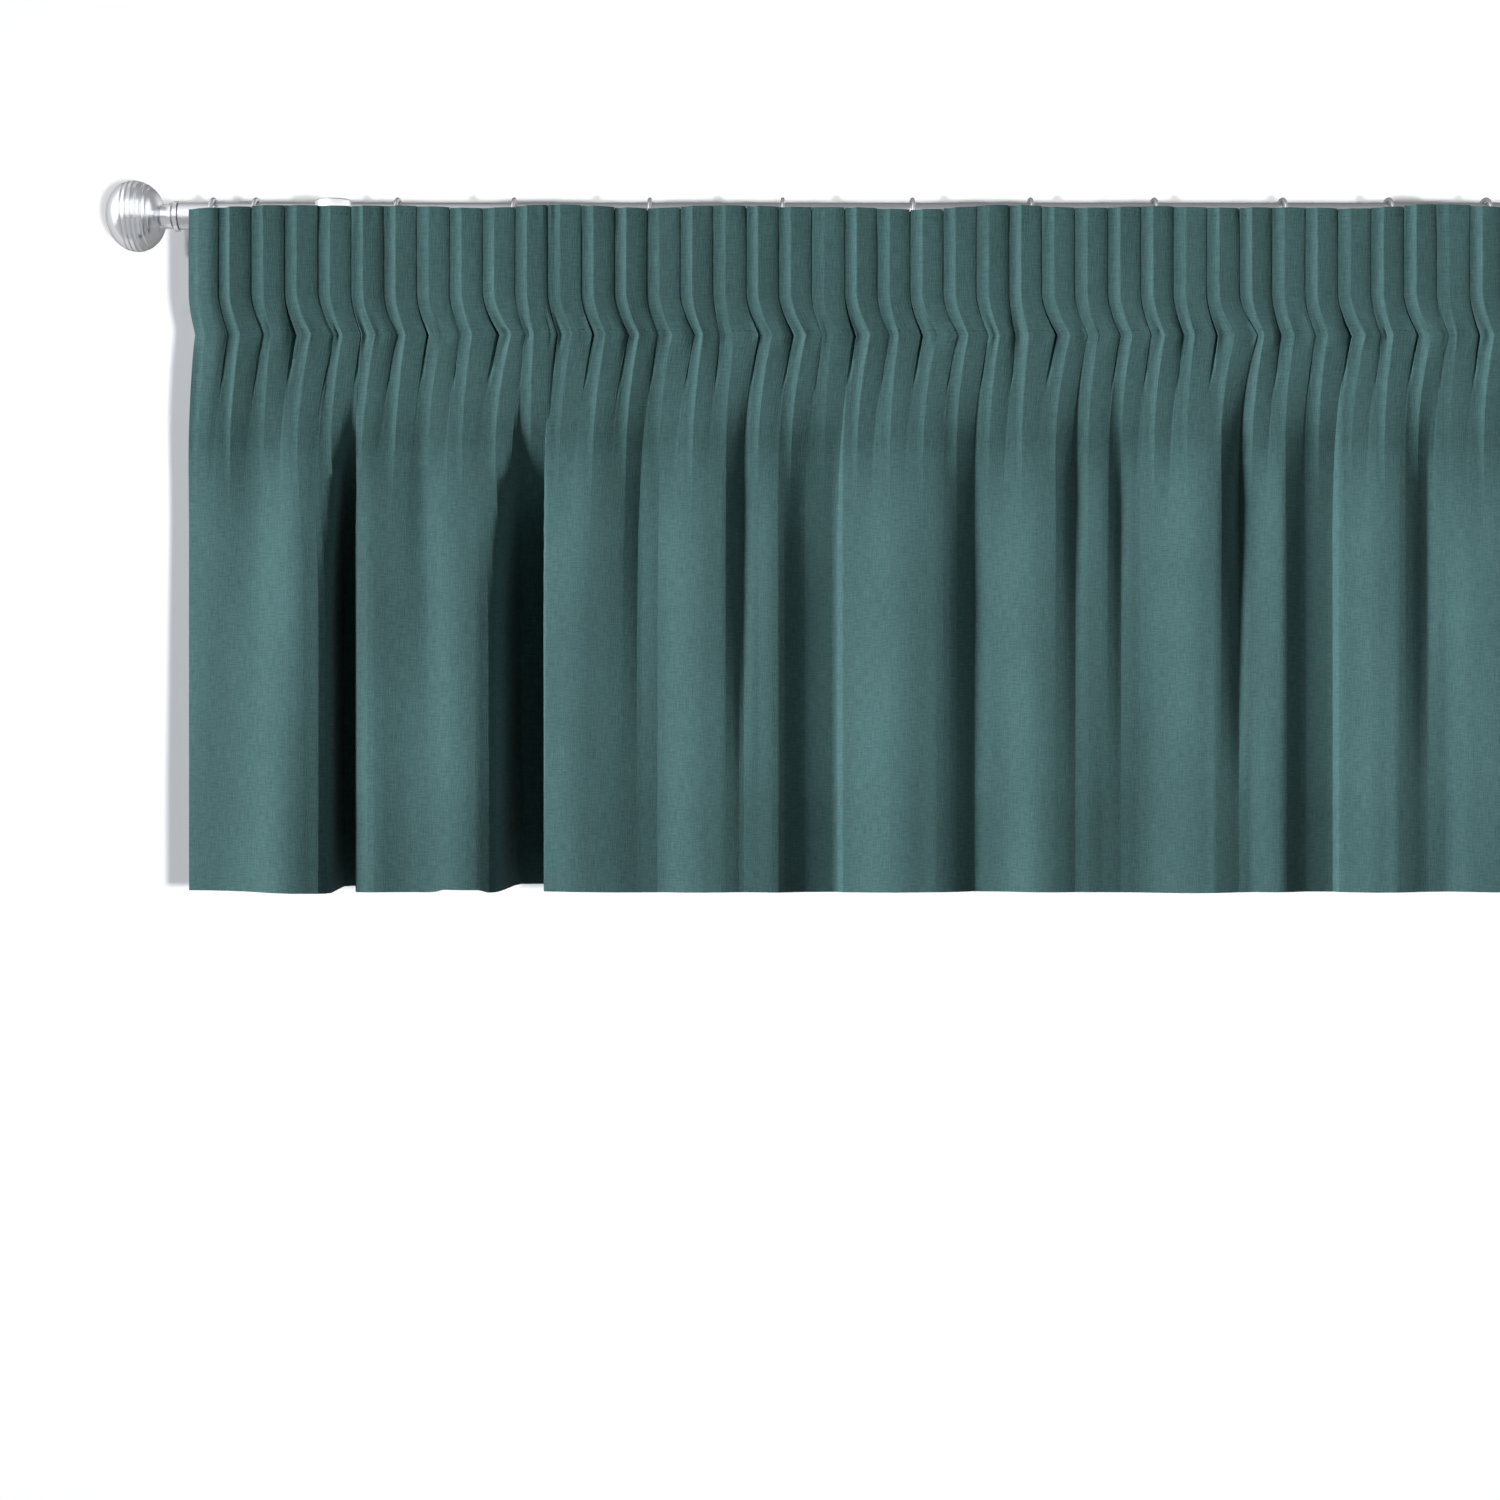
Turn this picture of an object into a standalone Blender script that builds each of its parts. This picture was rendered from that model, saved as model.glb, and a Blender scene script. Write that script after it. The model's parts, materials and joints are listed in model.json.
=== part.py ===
# Short pencil pleat curtain, hung by rings and hooks from a metal rod on two wall brackets.
# X runs along the rod, the wall is the plane Y = 0, the room is on the -Y side and Z is up.
# The origin is the middle of the left wall plate's back face. Lengths are in metres.
import math

import bmesh
import bpy
import numpy as np
from mathutils import Matrix

# Curtain
CLOTH_FLAT_WIDTH = 1.300
CLOTH_DROP = 0.400
CLOTH_THICKNESS = 0.0010
CLOTH_PAST_BRACKET = 0.081
HEADING_BELOW_ROD_AXIS = 0.0005
TAPE_HEIGHT = 0.075
TAPE_THICKNESS = 0.0008
TAPE_BELOW_TOP = 0.002
FLAT_PER_PLEAT = 0.0286
FIRST_PLEAT = 0.45
PLEAT_DEPTH_ALLOWED = 0.0065
PLEAT_SWING = 0.006
SWING_AT_EDGE = 0.5
SWING_HEIGHT = 0.022
PLEAT_STRENGTH = 1.2
PLEAT_FADE = 0.070
FOLD_GROWTH = 0.095
COLUMNS_PER_PLEAT = 5
CURVE_STEPS = 10
BODY_ROWS = (0.06, 0.14, 0.29, 1.0)

# Rod and finials
ROD_DIAMETER = 0.016
ROD_WALL = 0.0012
ROD_PAST_CLOTH = 0.012
BALL_RADIUS = 0.0209
BALL_HALF_LENGTH = 0.0173
BALL_FROM_ROD = 0.0259
BALL_NECK_RADIUS = 0.0075
COLLAR_RADIUS = 0.0088
COLLAR_LENGTH = 0.0030
SPIGOT_LENGTH = 0.018
GROOVE_COUNT = 6
GROOVE_PITCH = 0.0029
GROOVE_WIDTH = 0.0011
GROOVE_DEPTH = 0.0006
GROOVE_OFFSET = -0.0030

# Brackets
BRACKET_SPACING = 0.716
BRACKET_PROJECTION = 0.115
ARM_BELOW_ROD = 0.019
ARM_DIAMETER = 0.010
HEAD_DIAMETER = 0.027
HEAD_HEIGHT = 0.038
SOCKET_DEPTH = 0.006
PLATE_DIAMETER = 0.046
PLATE_THICKNESS = 0.004
BOSS_DIAMETER = 0.018
BOSS_HEIGHT = 0.008
ARM_IN_BOSS = 0.009
SCREW_HOLE_DIAMETER = 0.0046
SCREW_HOLE_SPACING = 0.031
COUNTERSINK_DIAMETER = 0.0086
CLAMP_DIAMETER = 0.004
CLAMP_HEAD_DIAMETER = 0.009
CLAMP_HEAD_HEIGHT = 0.005
EDGE_CHAMFER = 0.0010

# Rings and hooks
RING_BORE = 0.024
RING_WIRE = 0.0026
EYE_DIAMETER = 0.0064
EYE_WIRE = 0.0018
HOOK_WIRE = 0.0016
HOOK_LEG = 0.024
HOOK_BEND = 0.0055
HOOK_SHOULDER = 0.0022
RING_TO_TAPE = 0.0034

# Clearance left between pieces that touch
GAP = 0.0003

# Steps round each turned piece
ROD_STEPS = 24
BRACKET_STEPS = 28
FINIAL_STEPS = 18
ARM_STEPS = 16
SCREW_STEPS = 12
RING_STEPS = 14
RING_WIRE_STEPS = 5
EYE_STEPS = 8
EYE_WIRE_STEPS = 4
FINIAL_CAP_STEPS = 5
FLAT_BLEND_ANGLE = 40

# Where each ring hangs, as a share of the gathered width from the left edge
RING_SHARES = (
    0.010, 0.039, 0.135, 0.214, 0.306, 0.396, 0.484,
    0.564, 0.648, 0.735, 0.807, 0.873, 0.946, 0.986,
)

# The folds at the hem seen from above: distance from the left edge, then depth towards the wall.
# Long faces turn slowly back into a valley, and a steep wall brings the cloth forward again.
HEM_PLAN = (
    (0.000, 0.006), (0.010, 0.004), (0.020, 0.004), (0.029, 0.002), (0.038, -0.001), (0.047, -0.005),
    (0.056, -0.009), (0.066, -0.012), (0.076, -0.010), (0.085, 0.001), (0.092, 0.014), (0.097, 0.022),
    (0.1000, 0.025), (0.1022, 0.020), (0.1018, 0.007), (0.1024, -0.006), (0.105, -0.011), (0.111, -0.013),
    (0.119, -0.011), (0.127, -0.008), (0.136, -0.008), (0.145, -0.011), (0.155, -0.014), (0.164, -0.013),
    (0.173, -0.009), (0.181, 0.000), (0.188, 0.014), (0.195, 0.026), (0.200, 0.032), (0.204, 0.031),
    (0.2064, 0.024), (0.2062, 0.010), (0.2068, -0.005), (0.210, -0.012), (0.217, -0.014), (0.226, -0.013),
    (0.236, -0.011), (0.245, -0.008), (0.254, -0.004), (0.262, 0.000), (0.267, 0.000), (0.271, -0.005),
    (0.278, -0.011), (0.287, -0.014), (0.297, -0.016), (0.305, -0.015), (0.312, -0.011), (0.319, -0.006),
    (0.325, -0.002), (0.329, -0.002), (0.333, -0.006), (0.338, -0.009), (0.344, -0.007), (0.350, -0.002),
    (0.357, 0.008), (0.364, 0.018), (0.370, 0.024), (0.375, 0.025), (0.3785, 0.020), (0.3798, 0.008),
    (0.381, -0.004), (0.385, -0.011), (0.396, -0.015), (0.407, -0.017), (0.417, -0.017), (0.427, -0.015),
    (0.436, -0.011), (0.444, -0.005), (0.451, 0.003), (0.456, 0.008), (0.460, 0.009), (0.463, 0.004),
    (0.466, -0.004), (0.470, -0.010), (0.480, -0.013), (0.490, -0.014), (0.500, -0.012), (0.508, -0.008),
    (0.515, -0.002), (0.520, 0.001), (0.525, -0.001), (0.530, -0.004), (0.536, -0.003), (0.543, 0.002),
    (0.549, 0.006), (0.555, 0.006), (0.559, 0.000), (0.562, -0.007), (0.567, -0.012), (0.577, -0.014),
    (0.587, -0.016), (0.597, -0.015), (0.604, -0.009), (0.610, -0.001), (0.614, 0.002), (0.618, -0.002),
    (0.621, -0.007), (0.626, -0.011), (0.634, -0.012), (0.641, -0.009), (0.648, -0.001), (0.655, 0.009),
    (0.661, 0.017), (0.666, 0.020), (0.6705, 0.015), (0.672, 0.005), (0.674, -0.006), (0.679, -0.012),
    (0.690, -0.015), (0.700, -0.015), (0.709, -0.012), (0.716, -0.005), (0.722, 0.002), (0.727, 0.003),
    (0.7305, -0.001), (0.733, -0.006), (0.738, -0.011), (0.750, -0.014), (0.762, -0.015), (0.772, -0.012),
    (0.780, -0.004), (0.788, 0.006), (0.794, 0.011), (0.798, 0.010), (0.801, 0.004), (0.803, -0.004),
    (0.807, -0.010), (0.817, -0.014), (0.828, -0.014), (0.838, -0.009), (0.846, -0.001), (0.852, 0.005),
    (0.857, 0.005), (0.860, 0.000), (0.863, -0.006), (0.869, -0.009), (0.878, -0.010),
)

# Sizes worked out from the ones above
ROD_RADIUS = ROD_DIAMETER / 2
ROD_Y = -BRACKET_PROJECTION
ROD_Z = ARM_BELOW_ROD
GATHERED_WIDTH = BRACKET_SPACING + 2 * CLOTH_PAST_BRACKET
CLOTH_LEFT = -CLOTH_PAST_BRACKET
ROD_LEFT = CLOTH_LEFT - ROD_PAST_CLOTH
ROD_RIGHT = CLOTH_LEFT + GATHERED_WIDTH + ROD_PAST_CLOTH
CLOTH_TOP = ROD_Z - HEADING_BELOW_ROD_AXIS
TAPE_OFFSET = CLOTH_THICKNESS / 2 + GAP + TAPE_THICKNESS / 2
RING_RADIUS = (RING_BORE + RING_WIRE) / 2
CLOTH_Y = ROD_Y - RING_RADIUS - RING_WIRE / 2 - RING_TO_TAPE - PLEAT_DEPTH_ALLOWED
RING_Z = ROD_Z + ROD_RADIUS + GAP - RING_BORE / 2
EYE_Z = RING_Z - RING_RADIUS - EYE_DIAMETER / 2


def smooth(t):
    """Rises from 0 to 1 with level ends."""
    t = min(max(t, 0.0), 1.0)
    return t * t * (3 - 2 * t)


def solve(rising, target, low, high):
    """The value at which a rising function reaches the target."""
    for _ in range(50):
        middle = (low + high) / 2
        if rising(middle) < target:
            low = middle
        else:
            high = middle
    return (low + high) / 2


def curve_through(points):
    """A smooth curve through plan points, after Catmull and Rom, with a step of sqrt(distance)."""
    ends = np.vstack([2 * points[0] - points[1], points, 2 * points[-1] - points[-2]])
    knots = np.concatenate([[0], np.cumsum(np.sqrt(np.hypot(*np.diff(ends, axis=0).T)))])
    found = []
    for i in range(1, len(ends) - 2):
        t0, t1, t2, t3 = knots[i - 1:i + 3]
        p0, p1, p2, p3 = ends[i - 1:i + 3]
        for t in np.linspace(t1, t2, CURVE_STEPS, endpoint=False):
            a1 = p0 + (p1 - p0) * (t - t0) / (t1 - t0)
            a2 = p1 + (p2 - p1) * (t - t1) / (t2 - t1)
            a3 = p2 + (p3 - p2) * (t - t2) / (t3 - t2)
            b1 = a1 + (a2 - a1) * (t - t0) / (t2 - t0)
            b2 = a2 + (a3 - a2) * (t - t1) / (t3 - t1)
            found.append(b1 + (b2 - b1) * (t - t1) / (t2 - t1))
    return np.array(found + [points[-1]])


def length_of(line):
    return np.hypot(*np.diff(line, axis=0).T).sum()


def hem_angles(columns):
    """The cloth's direction along the hem, for equal steps of flat cloth."""
    plan = np.array(HEM_PLAN)
    plan[:, 0] *= GATHERED_WIDTH / plan[-1, 0]
    deepen = solve(lambda k: length_of(curve_through(plan * (1, k))), CLOTH_FLAT_WIDTH, 0.2, 5.0)
    line = curve_through(plan * (1, deepen))
    along = np.concatenate([[0], np.cumsum(np.hypot(*np.diff(line, axis=0).T))])
    steps = np.linspace(0, along[-1], columns + 1)
    even = np.column_stack([np.interp(steps, along, line[:, i]) for i in (0, 1)])
    return np.unwrap(np.arctan2(*np.diff(even, axis=0).T[::-1]))


def pleat_angles(columns):
    """The cloth's direction in the heading: even rounded pleats, of unit strength."""
    flat = (np.arange(columns) + 0.5) * CLOTH_FLAT_WIDTH / columns
    return -np.cos(2 * math.pi * (flat / FLAT_PER_PLEAT - FIRST_PLEAT))


def section(below, pleats, folds):
    """Plan points of the cloth at a distance below its top edge. Pleats fade into folds below the tape,
    and each section is drawn up until its flat width spans the gathered width."""
    down = below - TAPE_HEIGHT
    angles = (1 - smooth(down / PLEAT_FADE)) * PLEAT_STRENGTH * pleats + smooth(down / FOLD_GROWTH) * folds
    step = CLOTH_FLAT_WIDTH / len(angles)
    gather = solve(lambda k: -np.cos(k * angles).sum() * step, -GATHERED_WIDTH, 0.1, 2.5)
    x = np.concatenate([[0], np.cumsum(np.cos(gather * angles))]) * step
    y = np.concatenate([[0], np.cumsum(np.sin(gather * angles))]) * step
    y -= np.linspace(y[0], y[-1], len(y))
    y -= (y.max() + y.min()) / 2
    edge = np.minimum(x, GATHERED_WIDTH - x) / FLAT_PER_PLEAT
    swing = PLEAT_SWING * smooth(1 - abs(down) / SWING_HEIGHT)
    x += swing * (SWING_AT_EDGE + (1 - SWING_AT_EDGE) * np.clip(edge, 0, 1))
    return np.column_stack([x + CLOTH_LEFT, y])


def offset(line, distance):
    """The plan line moved towards the wall by a distance, square to itself, with mitred corners."""
    way = np.diff(line, axis=0)
    way /= np.hypot(*way.T)[:, None]
    normal = np.column_stack([-way[:, 1], way[:, 0]])
    first, last = np.vstack([normal[:1], normal]), np.vstack([normal, normal[-1:]])
    return line + distance * (first + last) / (1 + (first * last).sum(axis=1))[:, None]


def material(name, colour, roughness, metallic):
    made = bpy.data.materials.new(name)
    made.use_nodes = True
    shader = made.node_tree.nodes["Principled BSDF"]
    shader.inputs["Base Color"].default_value = (*colour, 1)
    shader.inputs["Roughness"].default_value = roughness
    shader.inputs["Metallic"].default_value = metallic
    return made


def add(name, mesh, finish, collection):
    """Links a mesh as an object with its material, round faces shaded smooth."""
    if finish is not None and not mesh.materials:
        mesh.materials.append(finish)
    mesh.shade_smooth()
    mesh.set_sharp_from_angle(angle=math.radians(FLAT_BLEND_ANGLE))
    made = bpy.data.objects.new(name, mesh)
    collection.objects.link(made)
    return made


def loft(name, rows):
    """An open surface through rows of equally many points."""
    columns = len(rows[0])
    points = [tuple(p) for row in rows for p in row]
    faces = [
        (i * columns + j, (i + 1) * columns + j, (i + 1) * columns + j + 1, i * columns + j + 1)
        for i in range(len(rows) - 1)
        for j in range(columns - 1)
    ]
    mesh = bpy.data.meshes.new(name)
    mesh.from_pydata(points, [], faces)
    return mesh


def sheet(name, rows, thickness, finish):
    """Cloth or tape: a surface through its rows, given its thickness evenly on both sides."""
    made = add(name, loft(name, rows), finish, parts)
    wall = made.modifiers.new("Thickness", "SOLIDIFY")
    wall.thickness = thickness
    wall.offset = 0
    wall.use_even_offset = True
    wall.use_quality_normals = True
    return made


def level(line, distance, z):
    """A plan line placed in front of the rod at a height, moved towards the wall by a distance."""
    return [(x, CLOTH_Y + y, z) for x, y in offset(line, distance)]


def turned(name, profile, finish, steps, collection, spin):
    """A profile of (radius, height) turned about Z, run down its outer side, then laid over by a rotation."""
    closed = profile[0] == profile[-1]
    points = profile[:-1] if closed else profile
    edges = [(i, (i + 1) % len(points)) for i in range(len(profile) - 1)]
    mesh = bpy.data.meshes.new(name)
    mesh.from_pydata([(r, 0, z) for r, z in points], edges, [])
    made = add(name, mesh, finish, collection)
    screw = made.modifiers.new("Turn", "SCREW")
    screw.steps = steps
    screw.render_steps = steps
    screw.use_merge_vertices = True
    screw.merge_threshold = 0.0001
    made.matrix_world = spin
    return made


def cylinder(name, radius, length, finish, steps, collection, spin):
    """A plain cylinder about Z, centred, laid over by a rotation."""
    mesh = bpy.data.meshes.new(name)
    shape = bmesh.new()
    bmesh.ops.create_cone(
        shape, cap_ends=True, segments=steps, radius1=radius, radius2=radius, depth=length
    )
    shape.to_mesh(mesh)
    shape.free()
    made = add(name, mesh, finish, collection)
    made.matrix_world = spin
    return made


def cutter(made):
    made.hide_render = True
    made.display_type = "WIRE"
    return made


def boolean(made, other, operation):
    cut = made.modifiers.new(other.name, "BOOLEAN")
    cut.operation = operation
    cut.solver = "EXACT"
    cut.object = other


def torus(name, radius, wire, steps, wire_steps, spin):
    """A round wire turned about Z and laid over by a rotation, as a form for the rings."""
    turn = [math.pi * 2 * i / wire_steps for i in range(wire_steps)]
    profile = [(radius - wire / 2 * math.cos(a), wire / 2 * math.sin(a)) for a in turn]
    return turned(name, profile + profile[:1], metal_finish, steps, cutters, spin)


def wire(name, points, diameter, finish):
    """A bent wire through its points, with closed ends."""
    curve = bpy.data.curves.new(name, "CURVE")
    curve.dimensions = "3D"
    curve.bevel_depth = diameter / 2
    curve.bevel_resolution = 1
    curve.use_fill_caps = True
    spline = curve.splines.new("POLY")
    spline.points.add(len(points) - 1)
    for point, place in zip(spline.points, points):
        point.co = (*place, 1)
    curve.materials.append(finish)
    made = bpy.data.objects.new(name, curve)
    parts.objects.link(made)
    return made


def make_cloth():
    """The gathered cloth, and the heading tape sewn along the back of its pleats."""
    columns = round(CLOTH_FLAT_WIDTH / FLAT_PER_PLEAT * COLUMNS_PER_PLEAT)
    pleats, folds = pleat_angles(columns), hem_angles(columns)
    heading_rows = (0, TAPE_HEIGHT - SWING_HEIGHT, TAPE_HEIGHT)
    body_rows = [TAPE_HEIGHT + share * (CLOTH_DROP - TAPE_HEIGHT) for share in BODY_ROWS]
    lines = {below: section(below, pleats, folds) for below in (*heading_rows, *body_rows)}
    sheet(
        "curtain_cloth",
        [level(line, 0, CLOTH_TOP - below) for below, line in lines.items()],
        CLOTH_THICKNESS,
        cloth_finish,
    )
    tape_rows = (TAPE_BELOW_TOP, *heading_rows[1:])
    tape_lines = [lines[0], *(lines[below] for below in heading_rows[1:])]
    sheet(
        "heading_tape",
        [
            level(line[1:-1], TAPE_OFFSET, CLOTH_TOP - below)
            for line, below in zip(tape_lines, tape_rows)
        ],
        TAPE_THICKNESS,
        tape_finish,
    )
    return offset(lines[0], TAPE_OFFSET + TAPE_THICKNESS / 2)


def seat_on(line, x, radius):
    """How far towards the wall a round wire of that radius lies when it rests on the line at x."""
    places = np.linspace(0, len(line) - 1, 20 * len(line))
    fine = np.column_stack([np.interp(places, range(len(line)), line[:, i]) for i in (0, 1)])
    near = fine[abs(fine[:, 0] - x) < radius]
    return (near[:, 1] + np.sqrt(radius ** 2 - (near[:, 0] - x) ** 2)).max()


def make_rod():
    """The tube, and a turned ball finial on a spigot at each end."""
    bore = ROD_RADIUS - ROD_WALL
    length = ROD_RIGHT - ROD_LEFT
    along_x = Matrix.Rotation(math.radians(90), 4, "Y")
    middle = Matrix.Translation(((ROD_LEFT + ROD_RIGHT) / 2, ROD_Y, ROD_Z))
    corners = ((bore, -1), (bore, 1), (ROD_RADIUS, 1), (ROD_RADIUS, -1), (bore, -1))
    tube = [(radius, end * length / 2) for radius, end in corners]
    turned("rod_tube", tube, rod_finish, ROD_STEPS, parts, middle @ along_x)
    profile = finial_profile(bore - GAP)
    for side, end, way in (("left", ROD_LEFT, -1), ("right", ROD_RIGHT, 1)):
        outward = Matrix.Rotation(math.radians(90 * way), 4, "Y")
        spin = Matrix.Translation((end + way * GAP, ROD_Y, ROD_Z)) @ outward
        turned("finial_" + side, profile, metal_finish, FINIAL_STEPS, parts, spin)


def finial_profile(spigot):
    """From the ball's tip, over its grooves and neck to the collar and the spigot in the rod."""
    first = GROOVE_OFFSET + GROOVE_PITCH * (GROOVE_COUNT - 1) / 2
    grooves = [first - GROOVE_PITCH * i for i in range(GROOVE_COUNT)]
    cap = math.acos((first + GROOVE_WIDTH) / BALL_HALF_LENGTH)
    turns = [cap * i / FINIAL_CAP_STEPS for i in range(FINIAL_CAP_STEPS + 1)]
    points = [ball_point(math.cos(turn) * BALL_HALF_LENGTH, 0) for turn in turns]
    for middle in grooves:
        points += [
            ball_point(middle + GROOVE_WIDTH / 2, 0),
            ball_point(middle, GROOVE_DEPTH),
            ball_point(middle - GROOVE_WIDTH / 2, 0),
        ]
    neck = -BALL_HALF_LENGTH * math.sqrt(1 - (BALL_NECK_RADIUS / BALL_RADIUS) ** 2)
    points += [ball_point((grooves[-1] + neck) / 2, 0), ball_point(neck, 0)]
    points += [
        (BALL_NECK_RADIUS, (BALL_FROM_ROD + neck + COLLAR_LENGTH) / 2),
        (COLLAR_RADIUS, COLLAR_LENGTH),
        (COLLAR_RADIUS, 0),
        (spigot, 0),
        (spigot, -SPIGOT_LENGTH),
        (0, -SPIGOT_LENGTH),
    ]
    return points


def ball_point(along, depth):
    """A point of the ball's outline, at a distance from its middle, sunk by a depth."""
    radius = BALL_RADIUS * math.sqrt(max(0.0, 1 - (along / BALL_HALF_LENGTH) ** 2))
    return (max(0.0, radius - depth), BALL_FROM_ROD + along)


def make_bracket(side, x):
    """A screwed wall plate with a boss, a round arm, and a turned head with a notch for the rod."""
    to_room = Matrix.Rotation(math.radians(90), 4, "X")
    plate, boss, arm = PLATE_DIAMETER / 2, BOSS_DIAMETER / 2, ARM_DIAMETER / 2
    front = PLATE_THICKNESS + BOSS_HEIGHT
    profile = [
        (0, front - ARM_IN_BOSS),
        (arm + GAP, front - ARM_IN_BOSS),
        (arm + GAP, front),
        (boss, front),
        (boss, PLATE_THICKNESS),
        (plate - EDGE_CHAMFER, PLATE_THICKNESS),
        (plate, PLATE_THICKNESS - EDGE_CHAMFER),
        (plate, 0),
        (0, 0),
    ]
    on_wall = Matrix.Translation((x, 0, 0)) @ to_room
    wall_plate = turned("wall_plate_" + side, profile, metal_finish, BRACKET_STEPS, parts, on_wall)
    hole, sink = SCREW_HOLE_DIAMETER / 2, COUNTERSINK_DIAMETER / 2
    hole_profile = [(0, 2 * PLATE_THICKNESS), (sink, 2 * PLATE_THICKNESS), (sink, PLATE_THICKNESS)]
    hole_profile += [(hole, PLATE_THICKNESS - sink + hole), (hole, -PLATE_THICKNESS), (0, -PLATE_THICKNESS)]
    for place in (-1, 1):
        where = Matrix.Translation((x, 0, place * SCREW_HOLE_SPACING / 2)) @ to_room
        name = "screw_hole_" + side + ("_low" if place < 0 else "_high")
        hole_form = turned(name, hole_profile, None, SCREW_STEPS, cutters, where)
        boolean(wall_plate, cutter(hole_form), "DIFFERENCE")

    arm_from = -(front - ARM_IN_BOSS + GAP)
    arm_to = ROD_Y + HEAD_DIAMETER / 2 - SOCKET_DEPTH + GAP
    where = Matrix.Translation((x, (arm_from + arm_to) / 2, 0)) @ to_room
    cylinder("bracket_arm_" + side, arm, arm_from - arm_to, metal_finish, ARM_STEPS, parts, where)

    head = HEAD_DIAMETER / 2
    top = ROD_Z + ROD_RADIUS
    low = top - HEAD_HEIGHT
    profile = [
        (0, top),
        (head - EDGE_CHAMFER, top),
        (head, top - EDGE_CHAMFER),
        (head, low + EDGE_CHAMFER),
        (head - EDGE_CHAMFER, low),
        (0, low),
    ]
    upright = Matrix.Translation((x, ROD_Y, 0))
    bracket_head = turned("bracket_head_" + side, profile, metal_finish, BRACKET_STEPS, parts, upright)
    notch = ROD_RADIUS + GAP
    across = Matrix.Translation((x, ROD_Y, ROD_Z)) @ Matrix.Rotation(math.radians(90), 4, "Y")
    cuts = [cylinder("rod_notch_" + side, notch, 2 * HEAD_DIAMETER, None, ROD_STEPS, cutters, across)]
    mouth = bpy.data.meshes.new("notch_mouth_" + side)
    shape = bmesh.new()
    room = Matrix.Diagonal((2 * HEAD_DIAMETER, 2 * notch, HEAD_HEIGHT, 1))
    bmesh.ops.create_cube(shape, size=1, matrix=room)
    shape.to_mesh(mouth)
    shape.free()
    box = add(mouth.name, mouth, None, cutters)
    box.matrix_world = Matrix.Translation((x, ROD_Y, ROD_Z + HEAD_HEIGHT / 2))
    cuts.append(box)
    socket = Matrix.Translation((x, ROD_Y + HEAD_DIAMETER / 2, 0)) @ to_room
    cuts.append(cylinder("arm_socket_" + side, arm + GAP, 2 * SOCKET_DEPTH, None, ARM_STEPS, cutters, socket))
    screw_hole = Matrix.Translation((x, ROD_Y, (low + ROD_Z) / 2))
    depth = ROD_Z - low + CLAMP_HEAD_HEIGHT
    bore = CLAMP_DIAMETER / 2 + GAP
    cuts.append(cylinder("clamp_hole_" + side, bore, depth, None, SCREW_STEPS, cutters, screw_hole))
    for cut in cuts:
        boolean(bracket_head, cutter(cut), "DIFFERENCE")

    shank_top = ROD_Z - ROD_RADIUS - GAP
    profile = [
        (0, shank_top),
        (CLAMP_DIAMETER / 2, shank_top),
        (CLAMP_DIAMETER / 2, low - GAP),
        (CLAMP_HEAD_DIAMETER / 2, low - GAP),
        (CLAMP_HEAD_DIAMETER / 2, low - GAP - CLAMP_HEAD_HEIGHT),
        (0, low - GAP - CLAMP_HEAD_HEIGHT),
    ]
    turned("clamp_screw_" + side, profile, metal_finish, SCREW_STEPS, parts, upright)


def ring_mesh():
    """A ring with a sewing eye joined under it, made once for all the rings."""
    upright = Matrix.Rotation(math.radians(90), 4, "Y")
    facing = Matrix.Rotation(math.radians(90), 4, "X")
    ring = torus("ring_form", RING_RADIUS, RING_WIRE, RING_STEPS, RING_WIRE_STEPS, upright)
    down = Matrix.Translation((0, 0, EYE_Z - RING_Z))
    eye = torus("eye_form", EYE_DIAMETER / 2, EYE_WIRE, EYE_STEPS, EYE_WIRE_STEPS, down @ facing)
    boolean(cutter(ring), cutter(eye), "UNION")
    bpy.context.view_layer.update()
    made = bpy.data.meshes.new_from_object(ring.evaluated_get(bpy.context.evaluated_depsgraph_get()))
    made.transform(ring.matrix_world)
    for form in (ring, eye):
        bpy.data.objects.remove(form)
    made.name = "ring"
    return made


def hook_points(x, tape_back):
    """A hook's line: its leg against the tape, a bend at the bottom, and an arch over the ring's eye."""
    leg = CLOTH_Y + seat_on(tape_back, x, HOOK_WIRE / 2 + GAP)
    arch = EYE_Z - (EYE_DIAMETER - EYE_WIRE) / 2 + GAP + HOOK_WIRE / 2
    low = EYE_Z - HOOK_LEG / 2
    turn = [(1 - math.cos(a), -math.sin(a)) for a in (0, math.pi / 3, 2 * math.pi / 3, math.pi)]
    points = [(leg, EYE_Z + HOOK_LEG / 2)]
    points += [(leg + HOOK_BEND / 2 * y, low + HOOK_BEND / 2 * z) for y, z in turn]
    points += [
        (leg + HOOK_BEND, arch - HOOK_BEND / 2),
        (leg + HOOK_BEND + HOOK_SHOULDER, arch),
        (ROD_Y + EYE_WIRE, arch),
        (ROD_Y + EYE_WIRE + HOOK_BEND / 2, arch - HOOK_BEND / 2),
        (ROD_Y + EYE_WIRE + HOOK_BEND / 2, arch - HOOK_BEND),
    ]
    return [(x, y, z) for y, z in points]


def make_rings_and_hooks(tape_back):
    mesh = ring_mesh()
    for number, share in enumerate(RING_SHARES, 1):
        x = CLOTH_LEFT + share * GATHERED_WIDTH
        ring = add(f"ring_{number:02d}", mesh, metal_finish, parts)
        ring.location = (x, ROD_Y, RING_Z)
        wire(f"hook_{number:02d}", hook_points(x, tape_back), HOOK_WIRE, hook_finish)


for old in list(bpy.data.objects):
    bpy.data.objects.remove(old)
parts = bpy.data.collections.new("short_curtain")
cutters = bpy.data.collections.new("cutters")
for group in (parts, cutters):
    bpy.context.scene.collection.children.link(group)

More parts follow.
